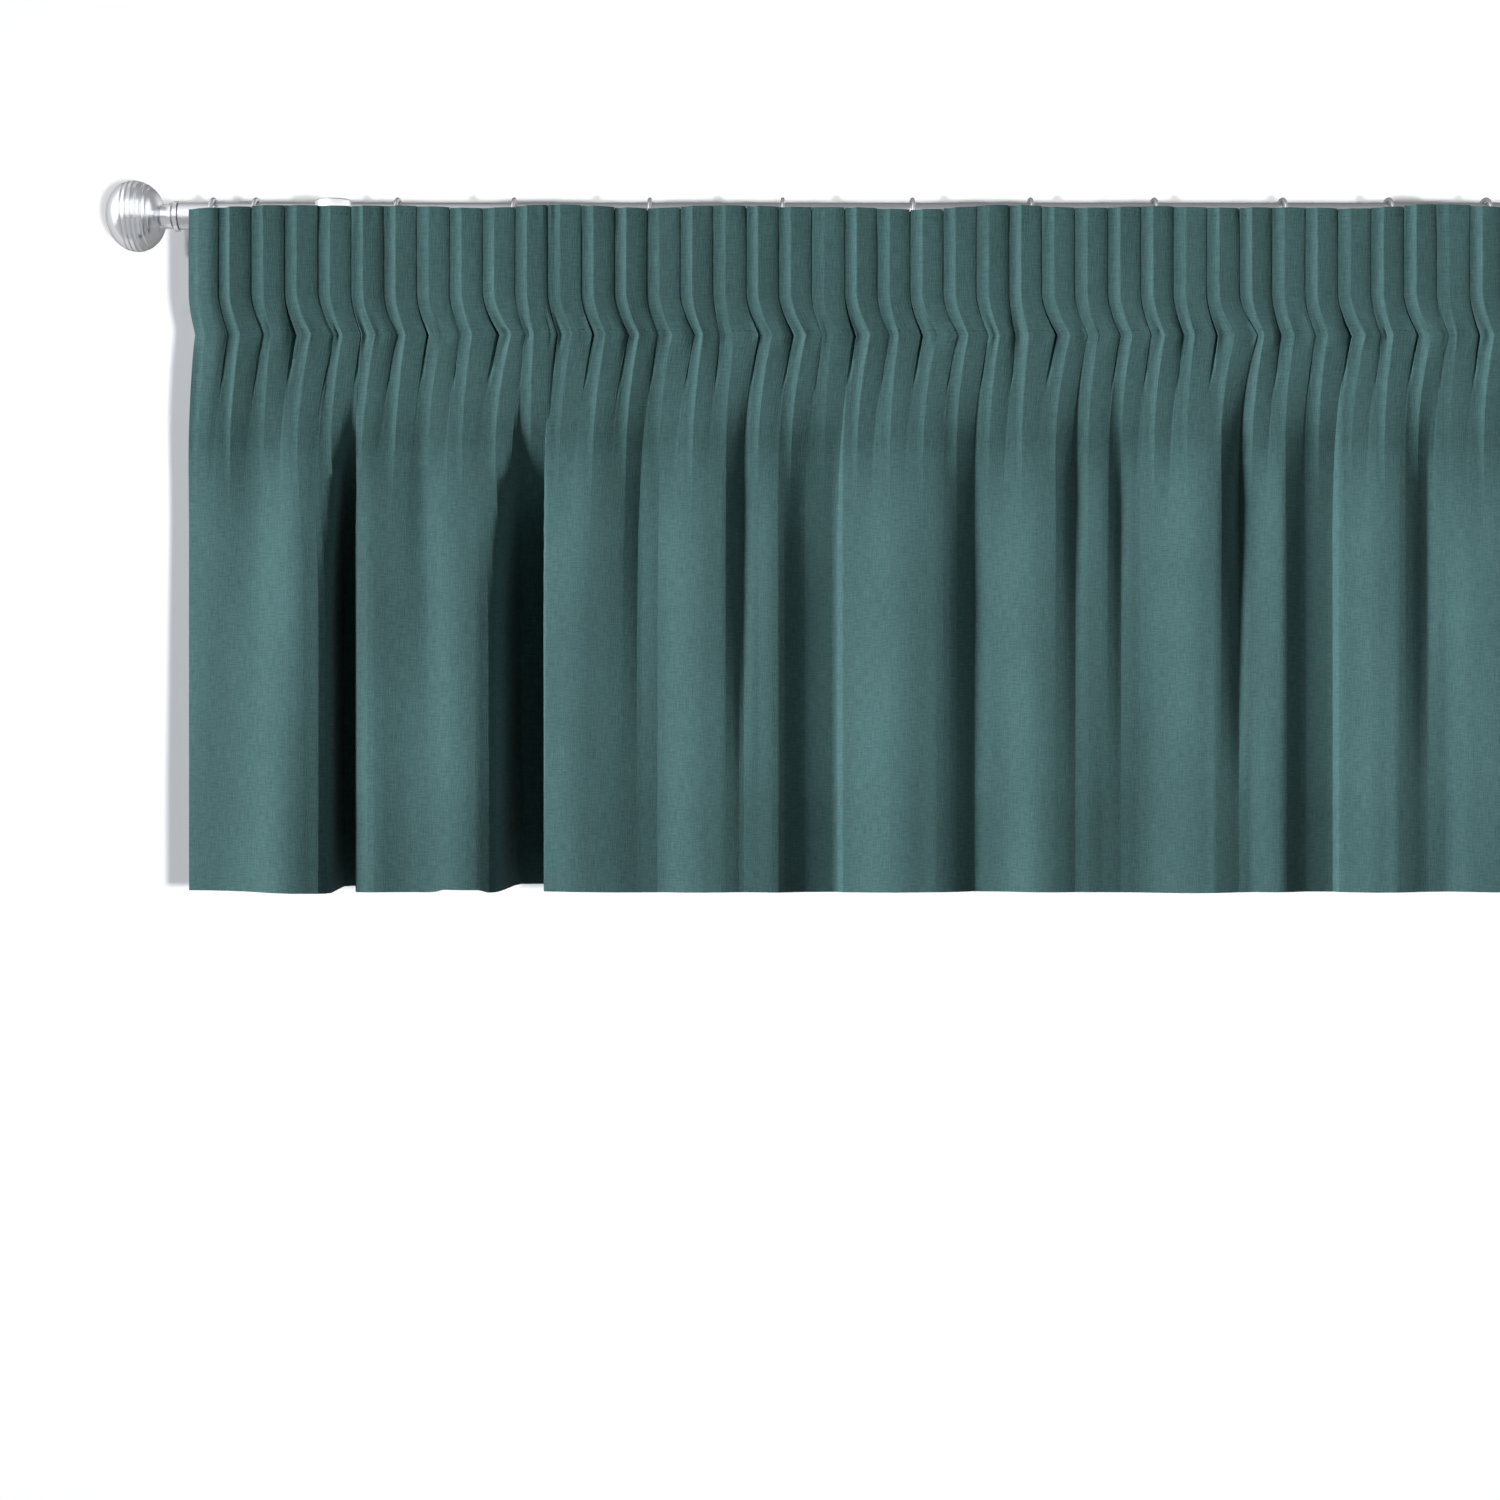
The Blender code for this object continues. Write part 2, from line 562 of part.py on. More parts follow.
cloth_finish = material("teal_linen", (0.070, 0.175, 0.170), 0.9, 0)
tape_finish = material("white_polyester_tape", (0.80, 0.79, 0.76), 0.85, 0)
metal_finish = material("satin_chrome", (0.66, 0.67, 0.69), 0.18, 1)
rod_finish = material("brushed_steel", (0.50, 0.50, 0.52), 0.3, 1)
hook_finish = material("zinc_wire", (0.60, 0.61, 0.62), 0.35, 1)

make_rings_and_hooks(make_cloth())
make_rod()
make_bracket("left", 0)
make_bracket("right", BRACKET_SPACING)
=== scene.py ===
import json
import math

import bpy
import numpy as np
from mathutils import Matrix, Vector

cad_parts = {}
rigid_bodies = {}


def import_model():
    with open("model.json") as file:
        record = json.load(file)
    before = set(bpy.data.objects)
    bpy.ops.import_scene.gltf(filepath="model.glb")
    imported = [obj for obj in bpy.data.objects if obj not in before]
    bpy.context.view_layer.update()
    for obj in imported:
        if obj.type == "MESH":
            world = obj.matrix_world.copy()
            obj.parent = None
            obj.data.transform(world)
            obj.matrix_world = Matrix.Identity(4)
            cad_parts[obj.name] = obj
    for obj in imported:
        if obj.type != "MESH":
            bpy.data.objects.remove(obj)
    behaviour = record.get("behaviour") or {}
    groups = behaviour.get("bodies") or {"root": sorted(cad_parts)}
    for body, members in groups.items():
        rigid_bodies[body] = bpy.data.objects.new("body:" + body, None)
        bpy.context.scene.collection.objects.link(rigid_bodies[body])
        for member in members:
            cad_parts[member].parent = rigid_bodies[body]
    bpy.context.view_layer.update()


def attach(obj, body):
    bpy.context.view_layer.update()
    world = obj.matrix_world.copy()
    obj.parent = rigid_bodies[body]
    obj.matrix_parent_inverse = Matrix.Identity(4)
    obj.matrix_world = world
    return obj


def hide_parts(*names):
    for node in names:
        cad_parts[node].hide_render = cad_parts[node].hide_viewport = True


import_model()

# X runs along the rod, the wall is Y = 0, the room is on the -Y side. Lengths are in metres.
mm = 0.001

# what the camera sees: a level 50 mm view, 1.22 m in front of the cloth
camera = {"place": (0.2472, -1.3590, -0.2996), "lens": 50, "sensor": 36}

lens = bpy.data.cameras.new("photoLens")
lens.lens = camera["lens"]
lens.sensor_width = camera["sensor"]
lens.clip_start = 0.02
lens.clip_end = 50
photoCamera = bpy.data.objects.new("photoCamera", lens)
photoCamera.location = camera["place"]
photoCamera.rotation_euler = (math.radians(90), 0, 0)
bpy.context.scene.collection.objects.link(photoCamera)
bpy.context.scene.camera = photoCamera
bpy.context.scene.view_settings.view_transform = "Standard"


# small helpers for nodes, selecting and finishing

def fromHex(code):
    # sRGB hex to Blender's linear colour
    parts = [int(code[i:i + 2], 16) / 255 for i in (1, 3, 5)]
    return (*[p / 12.92 if p <= 0.04045 else ((p + 0.055) / 1.055) ** 2.4 for p in parts], 1)


def addNode(tree, kind, inputs=None, **settings):
    # adds a node, sets it up, and links or fills its inputs
    node = tree.nodes.new("ShaderNode" + kind)
    for key, value in settings.items():
        setattr(node, key, value)
    for key, value in (inputs or {}).items():
        if isinstance(value, bpy.types.NodeSocket):
            tree.links.new(value, node.inputs[key])
        else:
            node.inputs[key].default_value = value
    return node


def newMaterial(name):
    made = bpy.data.materials.new(name)
    made.use_nodes = True
    tree = made.node_tree
    tree.nodes.clear()
    return made, tree, addNode(tree, "OutputMaterial")


def rampOf(tree, factor, stops):
    ramp = addNode(tree, "ValToRGB", {"Fac": factor})
    bar = ramp.color_ramp
    while len(bar.elements) < len(stops):
        bar.elements.new(0.5)
    for element, (place, level) in zip(bar.elements, stops):
        element.position = place
        element.color = (level, level, level, 1)
    return ramp


def letGo():
    # nothing stays selected from the piece before
    if bpy.context.mode != "OBJECT":
        bpy.ops.object.mode_set(mode="OBJECT")
    bpy.ops.object.select_all(action="DESELECT")


def applied(piece):
    # place, turn and size go into the mesh, and modifiers are applied
    letGo()
    piece.select_set(True)
    bpy.context.view_layer.objects.active = piece
    bpy.ops.object.transform_apply(location=True, rotation=True, scale=True)
    for modifier in list(piece.modifiers):
        bpy.ops.object.modifier_apply(modifier=modifier.name)
    return piece


def smoothed(piece, angle=40):
    letGo()
    piece.select_set(True)
    bpy.context.view_layer.objects.active = piece
    bpy.ops.object.shade_smooth_by_angle(angle=math.radians(angle))


def dressed(piece, material, slot, *nodes):
    # the piece rides on the part's one body and stands for the CAD nodes named
    piece.data.materials.clear()
    piece.data.materials.append(material)
    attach(piece, "root")
    if nodes:
        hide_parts(*nodes)
    return piece


def outwards(piece):
    # doubled points merged and all faces turned out
    letGo()
    bpy.context.view_layer.objects.active = piece
    bpy.ops.object.mode_set(mode="EDIT")
    bpy.ops.mesh.select_all(action="SELECT")
    bpy.ops.mesh.remove_doubles(threshold=0.00001)
    bpy.ops.mesh.normals_make_consistent(inside=False)
    bpy.ops.object.mode_set(mode="OBJECT")
    return piece


def turnedPiece(name, axis, base, rings, sides):
    # a disc extruded from ring to ring along its axis, as on a lathe: rings are (radius, distance from base)
    turn = {"X": (0, math.radians(90), 0), "Y": (math.radians(90), 0, 0), "Z": (0, 0, 0)}[axis]
    letGo()
    bpy.ops.mesh.primitive_circle_add(
        vertices=sides, radius=rings[0][0], fill_type="NGON", location=(0, 0, rings[0][1]))
    piece = bpy.context.object
    piece.name = name
    bpy.ops.object.transform_apply(location=True, rotation=False, scale=False)
    bpy.ops.object.mode_set(mode="EDIT")
    for (radiusBefore, before), (radius, along) in zip(rings, rings[1:]):
        bpy.ops.mesh.extrude_region_move(TRANSFORM_OT_translate={"value": (0, 0, along - before)})
        share = radius / radiusBefore
        bpy.ops.transform.resize(value=(share, share, 1), center_override=(0, 0, along))
    bpy.ops.object.mode_set(mode="OBJECT")
    piece.rotation_euler = turn
    piece.location = base
    applied(piece)
    return outwards(piece)


# the curtain's shape
# The cloth is laid out flat, drawn up into pencil pleats by its tape, and let fall into folds.

curtain = {
    # the flat cloth, and its place once it is drawn up
    "flatWidth": 1.300, "drop": 0.400, "thickness": 0.7 * mm,
    "gatheredWidth": 0.878, "left": -0.081, "top": 0.0185, "planeY": -0.1395, "front": -0.007,
    # the pencil pleats: flat cloth in each, and how much of a pleat the left edge starts with
    "tapeHeight": 0.075, "flatPerPleat": 0.0286, "firstPleat": 0.756,
    # how far under the tape the pleats fade out and the folds grow
    "loopFade": 0.036, "pleatFade": 0.115, "foldGrowth": 0.120,
    # the flat width's share in the folds, how evenly it is shared out, and how much of the turns is used
    "foldShare": 0.93, "evenness": 0.85, "turnShare": 0.80,
    # heights at which the deep valleys start and are open
    "deepFrom": 0.100, "deepAt": 0.235,
    # the sideways kink where the tape ends
    "swing": 7 * mm, "swingAbove": 0.024, "swingBelow": 0.075, "swingAtEdge": 0.4,
    # the top edge and the hem aren't dead straight, and the hem lifts between two places
    "topWaver": 1.0 * mm, "hemWaver": 0.7 * mm, "hemLift": (0.146, 0.180, 1.6 * mm),
}

# the folds seen from above, at three heights. First how far the cloth of each front is turned to the left:
# distance from the left edge in mm, then degrees
foldHeights = (0.170, 0.235, 0.345)
frontTurns = [
    (0, 34, 34, 20), (10, 28, 20, 16), (19, 12, 15, 22), (28, 8, 18, 32), (37, 16, 27, 43),
    (45, 43, 45, 50), (55, 46, 44, 28), (62, 30, 24, 12), (70, 1, 2, 1), (96, 45, 48, 55),
    (103, 17, 29, 44), (108, 3, 9, 22), (115, 2, 3, 7), (124, 1, 4, 10), (131, -12, 2, 17),
    (136, -2, 4, 20), (141, 26, 18, 23), (146, 31, 36, 29), (151, 15, 31, 31), (158, 9, 13, 19),
    (167, 5, 3, 5), (173, -3, -9, -14), (207, 24, 24, 24), (218, 24, 24, 24), (226, 24, 17, 11),
    (233, 14, 4, 5), (241, 0, 2, 4), (250, -5, -6, 2), (275, 26, 20, 14), (279, 27, 27, 28),
    (287, 25, 31, 33), (295, 20, 20, 24), (302, 6, 6, 10), (310, 0, 1, 6), (333, 20, 24, 6),
    (338, 8, 10, 4), (344, -2, -6, -10), (380, 22, 24, 20), (390, 21, 27, 28), (400, 25, 31, 35),
    (409, 25, 30, 31), (417, 14, 19, 20), (425, 8, 10, 9), (436, 2, 4, 12), (468, 34, 30, 14),
    (475, 22, 22, 18), (483, 22, 26, 31), (490, 21, 23, 32), (497, 7, 10, 16), (506, 2, 3, 1),
    (528, 20, 12, -10), (533, 6, 8, -6), (537, -8, 2, -3), (553, 22, 8, 7), (560, 22, 14, 9),
    (567, 21, 23, 20), (577, 25, 27, 26), (586, 24, 22, 23), (595, 8, 9, 14), (600, -2, 8, 22),
    (620, 14, 10, 14), (628, 20, 20, 22), (636, 17, 17, 12), (642, 8, 2, -10), (671, 20, 20, 20),
    (682, 21, 22, 23), (690, 22, 26, 28), (698, 10, 12, 16), (708, 0, 8, 26), (732, 22, 20, 6),
    (744, 16, 28, 29), (752, 9, 20, 18), (762, 14, 14, 16), (776, 2, 2, 2), (801, 24, 24, 24),
    (814, 20, 22, 22), (838, 4, 4, 6), (878, 4, 4, 4),
]
# then the valleys between them: start, bottom and end in mm, depth at the three heights, how late the left
# side steepens (below 1 it drops at once to a floor), and how round the next front's edge is. The last number,
# for the deep valleys only, is how far their floor runs on under the next front
valleys = [
    (75, 92, 97, 34, 38, 36, 2.6, 1.0, 9), (168, 195, 207, 26, 40, 42, 2.6, 1.0, 12),
    (250, 263, 275, 4, 3, 0.5, 1.8, 2.0, 0), (311, 323, 333, 10, 8, 1.5, 2.2, 1.8, 0),
    (344, 378, 382, 8, 12, 11, 0.5, 0.6, 0), (436, 459, 471, 9, 11, 7, 2.4, 1.2, 0),
    (506, 519, 529, 9, 4, 1.5, 2.0, 1.6, 0), (536, 545, 555, 6, 3, 0.5, 1.8, 1.8, 0),
    (600, 614, 621, 20, 10, 1, 2.6, 1.4, 0), (640, 669, 673, 11, 11, 9, 0.5, 0.7, 0),
    (706, 723, 735, 9, 8, 2, 2.2, 1.2, 0), (776, 790, 801, 18, 18, 18, 2.4, 1.2, 4),
]

# one pencil pleat: share of its flat width, the cloth's direction there in degrees, and mesh columns up to
# it. A flat front, a shoulder, a narrow loop closed behind, and a ramp up to the next front's crease
pleatForm = [
    (0.000, 2, 0), (0.012, 3, 1), (0.200, 4, 1), (0.310, 8, 1), (0.404, 14, 1), (0.4065, 60, 1),
    (0.411, 92.5, 1), (0.545, 93, 1), (0.615, -93, 3), (0.751, -92.5, 1), (0.755, -45, 1), (0.758, 9, 1),
    (0.800, 7, 1), (0.860, -5, 1), (0.925, -19, 1), (0.985, -31, 1), (0.996, -31, 1), (1.000, 0, 1),
]
loop = (0.405, 0.7575)  # where the closed loop starts and ends

# the valleys' build: the line's step in mm, the least share of its depth that a valley comes back by, the most
# in mm that a deep one stays back, the width of its leaning wall, and the reach over which fronts are levelled
valleyForm = {"step": 0.5, "leastRise": 0.4, "deepRise": 7, "wall": 2.5, "levelOver": 110}


def smooth(t):
    t = np.clip(t, 0, 1)
    return t * t * (3 - 2 * t)


def solved(rising, target, low, high):
    # the value at which a rising function reaches the target
    for _ in range(30):
        middle = (low + high) / 2
        low, high = (middle, high) if rising(middle) < target else (low, middle)
    return (low + high) / 2


def lengthsAlong(line):
    return np.concatenate([[0], np.cumsum(np.hypot(np.diff(line[:, 0]), np.diff(line[:, 1])))])


def averaged(values, reach):
    # a broad running average, the same at the ends
    return np.convolve(np.pad(values, reach, mode="reflect"), np.hanning(2 * reach + 1) / reach, "valid")


def waver(along, wavelength, seed):
    # a smooth random wave between about -1 and 1, the same on each run
    dice = np.random.default_rng(seed)
    total = np.zeros_like(along)
    for share in (1.0, 0.62, 0.41):
        total += np.sin(2 * math.pi * along / (wavelength * share) + dice.uniform(0, 2 * math.pi)) / 1.8
    return total


def foldLine(below, deepen):
    # the folds' line at one height. Each front rises to one plane and each valley falls back from it
    level = np.interp(below, foldHeights, (0, 1, 2))
    low = min(int(level), 1)

    def atLevel(row):
        return row[low] * (1 - level + low) + row[low + 1] * (level - low)

    # the deep valleys open later and narrower than the shallow ones
    late = smooth((below - curtain["deepFrom"]) / (curtain["deepAt"] - curtain["deepFrom"]))
    step = valleyForm["step"]
    place = np.arange(0, frontTurns[-1][0] + step / 2, step)
    turn = np.interp(place, [row[0] for row in frontTurns], [atLevel(row[1:]) for row in frontTurns])
    ahead = np.concatenate([[0], np.cumsum((np.tan(np.radians(turn * curtain["turnShare"])) * step)[1:])])
    depth, shift = np.zeros(len(place)), np.zeros(len(place))

    def between(start, end):
        return slice(int(start / step), int(end / step) + 1)

    plane = 0.0
    starts = [0, *[row[2] for row in valleys]]
    ends = [*[row[0] for row in valleys], frontTurns[-1][0]]
    for i, (start, end) in enumerate(zip(starts, ends)):
        on = between(start, end)
        rise = nextStart = ahead[on][-1] - ahead[on][0]
        if i:
            # the valley before this front, as far back up as brings the front's end to the plane
            frontEnd, bottom, _, *depths, steepness, roundness, tuck = valleys[i - 1]
            drop = atLevel(depths) * (deepen * late if tuck else 1)
            before = frontEnd + ((1 - late) * 0.7 * (bottom - frontEnd) if tuck else 0)
            nextStart = plane + drop - max(plane + drop - rise, drop * valleyForm["leastRise"])
            left, right = between(frontEnd, bottom), between(bottom, start)
            share = np.clip((place[left] - before) / (bottom - before), 0, 1)
            back = np.clip((start - place[right]) / (start - bottom), 0, 1)
            if tuck:
                # a slope, a drop, a floor that runs on under the next front, and a leaning wall up to it
                nextStart = min(nextStart, plane + valleyForm["deepRise"])
                depth[left] = plane + drop * (0.08 * share + 0.92 * smooth(share * 1.4 - 0.4) ** 1.3)
                wall = valleyForm["wall"] / (start - bottom)
                depth[right] = plane + drop + (nextStart - plane - drop) * np.clip(1 - back / wall, 0, 1)
                shift[right] = tuck * np.clip(np.minimum((1 - back) / (1 - wall), back / wall), 0, 1)
            else:
                # either steeper and steeper, or a drop with a long floor behind it
                floored = 0.6 * smooth(share / 0.5) + 0.4 * share
                depth[left] = plane + drop * (share ** steepness if steepness > 1 else floored)
                depth[right] = nextStart + (plane + drop - nextStart) * back ** roundness
            plane = nextStart - rise
        depth[on] = nextStart - (ahead[on] - ahead[on][0])
    # the fronts are levelled to stay near one plane, with straight bridges over the valleys
    bridged = depth.copy()
    for start, _, end, *_ in valleys:
        across = between(start, end)
        bridged[across] = np.linspace(bridged[across][0], bridged[across][-1], len(bridged[across]))
    broad = averaged(bridged, int(valleyForm["levelOver"] / step))
    line = np.column_stack([place + shift, depth - (broad - broad.mean()), place])
    # a short average takes the corners off
    weights = np.array([1, 4, 6, 4, 1]) / 16
    inner = np.column_stack([np.convolve(line[:, i], weights, "valid") for i in (0, 1, 2)])
    return np.vstack([line[:1], inner, line[-1:]]) * mm


def foldShares(below):
    # the folds' line at one height, and the share of the flat width at each of its points. The width is shared
    # out mostly evenly, so that the pleats above pass straight down, with more of it where the cloth runs deep
    c = curtain
    full = max(below, c["deepAt"])
    deepen = solved(lambda k: lengthsAlong(foldLine(full, k))[-1], c["flatWidth"] * c["foldShare"], 0.1, 4.0)
    line = foldLine(below, deepen)
    along = lengthsAlong(line)
    across = line[:, 2] / line[-1, 2]
    extra = along / along[-1] - across
    ends = np.minimum(1, np.minimum(across, 1 - across) * 20)
    return line, np.maximum.accumulate(across + (extra - averaged(extra, 300)) * ends * (1 - c["evenness"]))


def foldShape(flat, below):
    # the places were read from the photograph as if all lay in one plane, so what hangs nearer to the camera
    # moves in towards the picture's middle
    line, share = foldShares(below)
    x, y = [np.interp(flat / curtain["flatWidth"], share, line[:, i]) for i in (0, 1)]
    middle = camera["place"][0] - curtain["left"]
    nearer = (curtain["front"] - y) / (curtain["planeY"] - camera["place"][1])
    return x + (middle - x) * nearer, y


def pleatColumns():
    # places on the flat cloth for the mesh columns, close together in each pleat's loop
    places = []
    for (start, _, _), (end, _, count) in zip(pleatForm, pleatForm[1:]):
        places += [start + (end - start) * i / count for i in range(count)] if count else []
    pleatCount = curtain["flatWidth"] / curtain["flatPerPleat"]
    found = [n - curtain["firstPleat"] + place for n in range(int(pleatCount) + 2) for place in places]
    found = [f * curtain["flatPerPleat"] for f in found if 0.05 < f < pleatCount - 0.05]
    # more columns where a deep valley's wall comes forward again
    for below in (foldHeights[0], foldHeights[-1]):
        share = foldShares(below)[1]
        for _, _, end, *_, tuck in valleys:
            if tuck:
                inWall = share[int(2 * end) - 8:int(2 * end) + 3] * curtain["flatWidth"]
                found += list(np.linspace(inWall[0], inWall[-1], 8))
    found = np.sort(np.array([0, *found, curtain["flatWidth"]]))
    return found[np.concatenate([[True], np.diff(found) > 0.12 * mm])]


def pleatShape(flat):
    # places in the heading's pencil pleats, a little uneven as drawn up by hand
    middle = (flat[1:] + flat[:-1]) / 2
    turn = (middle / curtain["flatPerPleat"] + curtain["firstPleat"]) % 1
    angle = np.radians(np.interp(turn, [f[0] for f in pleatForm], [f[1] for f in pleatForm]))
    ramp = (turn > loop[1]) | (turn < loop[0])
    angle[ramp] *= (1 + 0.45 * waver(middle, 0.11, 5))[ramp]
    angle[middle < 0.011] -= math.radians(20)
    x = np.concatenate([[0], np.cumsum(np.cos(angle) * np.diff(flat))])
    y = np.concatenate([[0], np.cumsum(np.sin(angle) * np.diff(flat))])
    print("pleats drawn up to", round(float(x[-1]), 4), "drift", round(float(y[-1]), 4))
    # what is left over is taken up in the fronts
    stretch = curtain["gatheredWidth"] / x[-1]
    trend = np.interp(flat, flat[::60], y[::60])
    y = y - trend - (y - trend).mean()
    turn = (flat / curtain["flatPerPleat"] + curtain["firstPleat"]) % 1
    outside = (turn < loop[0] + 0.001) | (turn > loop[1] - 0.001)
    front = np.interp(flat, flat[outside], y[outside])
    return x * stretch, front, y - front


def section(below, flat, pleats):
    # the cloth's line at one height: pleats above, folds below, one passing into the other
    c = curtain
    down = below - c["tapeHeight"]
    x, front, loops = pleats
    y = front + loops
    if down > 0:
        foldX, foldY = foldShape(flat, below)
        spread = smooth(down / c["foldGrowth"])
        front = front * (1 - smooth(down / c["pleatFade"]))
        loops = loops * (1 - min(1, down / c["loopFade"])) ** 2
        x = x + (foldX - x) * spread
        y = front + loops + (foldY - c["front"]) * spread ** 1.2
    edge = np.minimum(x, c["gatheredWidth"] - x) / c["flatPerPleat"]
    near = max(0.0, 1 - abs(down) / (c["swingAbove"] if down < 0 else c["swingBelow"]))
    sway = c["swing"] * (1 + 0.3 * waver(flat, 0.13, 8)) * near ** (1.6 if down < 0 else 1.9)
    x = x + sway * (c["swingAtEdge"] + (1 - c["swingAtEdge"]) * np.clip(edge, 0, 1))
    # the top edge and the hem aren't dead straight
    high = 1 - smooth(below / c["tapeHeight"])
    z = c["top"] - below + c["topWaver"] * (waver(flat, 0.31, 21) - 0.5) * high
    start, end, lift = c["hemLift"]
    low = smooth((below - 0.32) / (c["drop"] - 0.32))
    z = z + low * lift * smooth((x - start) / 0.008) * smooth((end - x) / 0.008)
    z = z + low * c["hemWaver"] * (1 + waver(flat, 0.37, 22)) / 2
    return np.column_stack([x + c["left"], y + c["planeY"], z])


# the cloth's middle surface on a fine net, for the cloth and for all that lies on it
netBelow = np.concatenate([
    np.linspace(0, 0.05, 6, endpoint=False), np.linspace(0.05, 0.085, 11, endpoint=False),
    np.linspace(0.085, 0.16, 20, endpoint=False), np.linspace(0.16, curtain["drop"], 18),
])
netAlong = pleatColumns()
netColumns = len(netAlong) - 1
pleats = pleatShape(netAlong)
net = np.array([section(below, netAlong, pleats) for below in netBelow])

def outOfBack(grid):
    # the directions out of a net's back, towards the wall
    ways = np.cross(np.gradient(grid, axis=1), np.gradient(grid, axis=0))
    ways /= np.linalg.norm(ways, axis=2)[:, :, None]
    return ways if ways[:, :, 1].mean() > 0 else -ways


# small puckers where the tape's rows of stitches draw the cloth up: place, reach, amount in mm, seed
netWays = outOfBack(net)
for line, height, amount, seed in ((0.004, 0.006, 0.30, 11), (0.0735, 0.009, 0.55, 12)):
    near = np.exp(-((netBelow - line) / height) ** 2)
    net += (near[:, None] * waver(netAlong, 0.011, seed)[None, :] * amount * mm)[:, :, None] * netWays
print("cloth net", net.shape, "depth", round(float(np.ptp(net[:, :, 1])), 4))


def onNet(grid, ways, row, column, behind):
    # points between a net's rows and columns, moved out of its back by a distance
    i = np.minimum(row.astype(int), grid.shape[0] - 2)
    j = np.minimum(column.astype(int), grid.shape[1] - 2)
    u, v = (column - j)[..., None], (row - i)[..., None]

    def mixed(values):
        low = values[i, j] * (1 - u) + values[i, j + 1] * u
        high = values[i + 1, j] * (1 - u) + values[i + 1, j + 1] * u
        return low * (1 - v) + high * v

    way = mixed(ways)
    way /= np.linalg.norm(way, axis=-1)[..., None]
    return mixed(grid) + way * np.asarray(behind)[..., None]


def onCloth(along, below, behind):
    # points on the hung cloth for places on the flat cloth
    column = np.interp(along, netAlong, np.arange(netColumns + 1))
    return onNet(net, netWays, np.interp(below, netBelow, np.arange(len(netBelow))), column, behind)


def hungSheet(name, place, along, below, behind, thickness):
    # a flat grid of real size, carried to its place on the hung cloth; its UV map keeps the flat metres
    letGo()
    columns, rows = len(along) - 1, len(below) - 1
    bpy.ops.mesh.primitive_grid_add(x_subdivisions=columns, y_subdivisions=rows, size=1)
    piece = bpy.context.object
    piece.name = name
    mesh = piece.data
    flat = np.zeros(len(mesh.vertices) * 3)
    mesh.vertices.foreach_get("co", flat)
    flat = flat.reshape(-1, 3) + 0.5
    alongAt = np.interp(flat[:, 0] * columns, np.arange(columns + 1), along)
    belowAt = np.interp((1 - flat[:, 1]) * rows, np.arange(rows + 1), below)
    depth = behind(alongAt, belowAt) if callable(behind) else np.full(len(flat), behind)
    mesh.vertices.foreach_set("co", place(alongAt, belowAt, depth).ravel())
    while mesh.uv_layers:
        mesh.uv_layers.remove(mesh.uv_layers[0])
    layer = mesh.uv_layers.new(name="flatCloth")
    corner = np.zeros(len(mesh.loops), np.int64)
    mesh.loops.foreach_get("vertex_index", corner)
    layer.data.foreach_set("uv", np.column_stack([alongAt, -belowAt])[corner].ravel())
    mesh.update()
    wall = piece.modifiers.new("Thickness", "SOLIDIFY")
    wall.thickness = thickness
    wall.offset = 0
    applied(piece)
    smoothed(piece, 60)
    # wide faces keep their own shading beside a tight bend
    piece.modifiers.new("Shading", "WEIGHTED_NORMAL").keep_sharp = True
    return applied(piece)


# materials

def tealLinen():
    # linen-look plain weave, dyed in the yarn: matt, with slub threads both ways that catch the light
    made, tree, output = newMaterial("tealLinen")
    uv = addNode(tree, "UVMap", uv_map="flatCloth").outputs["UV"]

    def threads(across, lengthwise, detail):
        # noise drawn out along one thread direction, sizes in millimetres
        scale = (1 / (across * mm), 1 / (lengthwise * mm), 1)
        placed = addNode(tree, "Mapping", {"Vector": uv, "Scale": scale})
        return addNode(tree, "TexNoise", {
            "Vector": placed.outputs["Vector"], "Scale": 1.0, "Detail": detail, "Roughness": 0.6,
        }, noise_dimensions="2D").outputs["Fac"]

    warp = threads(0.7, 9, 2)
    weft = threads(8, 0.7, 2)
    both = addNode(tree, "Math", {0: warp, 1: weft}, operation="ADD").outputs["Value"]
    broad = threads(60, 90, 2)
    shade = addNode(tree, "MapRange", {"Value": both, "From Min": 0.70, "From Max": 1.30}).outputs["Result"]
    tone = addNode(tree, "Mix", {
        "Factor": shade, 6: fromHex("#4E7375"), 7: fromHex("#628A8A"),
    }, data_type="RGBA").outputs[2]
    patchy = addNode(tree, "MapRange", {
        "Value": broad, "From Min": 0.3, "From Max": 0.7, "To Min": 0.94, "To Max": 1.06,
    }).outputs["Result"]
    colour = addNode(tree, "VectorMath", {0: tone, "Scale": patchy}, operation="SCALE").outputs["Vector"]
    bump = addNode(tree, "Bump", {"Height": both, "Strength": 0.35, "Distance": 0.5 * mm})
    shader = addNode(tree, "BsdfPrincipled", {
        "Base Color": colour, "Roughness": 0.92, "Normal": bump.outputs["Normal"],
        "Specular IOR Level": 0.2, "Sheen Weight": 0.06, "Sheen Roughness": 0.6,
    })
    tree.links.new(shader.outputs["BSDF"], output.inputs["Surface"])
    return made


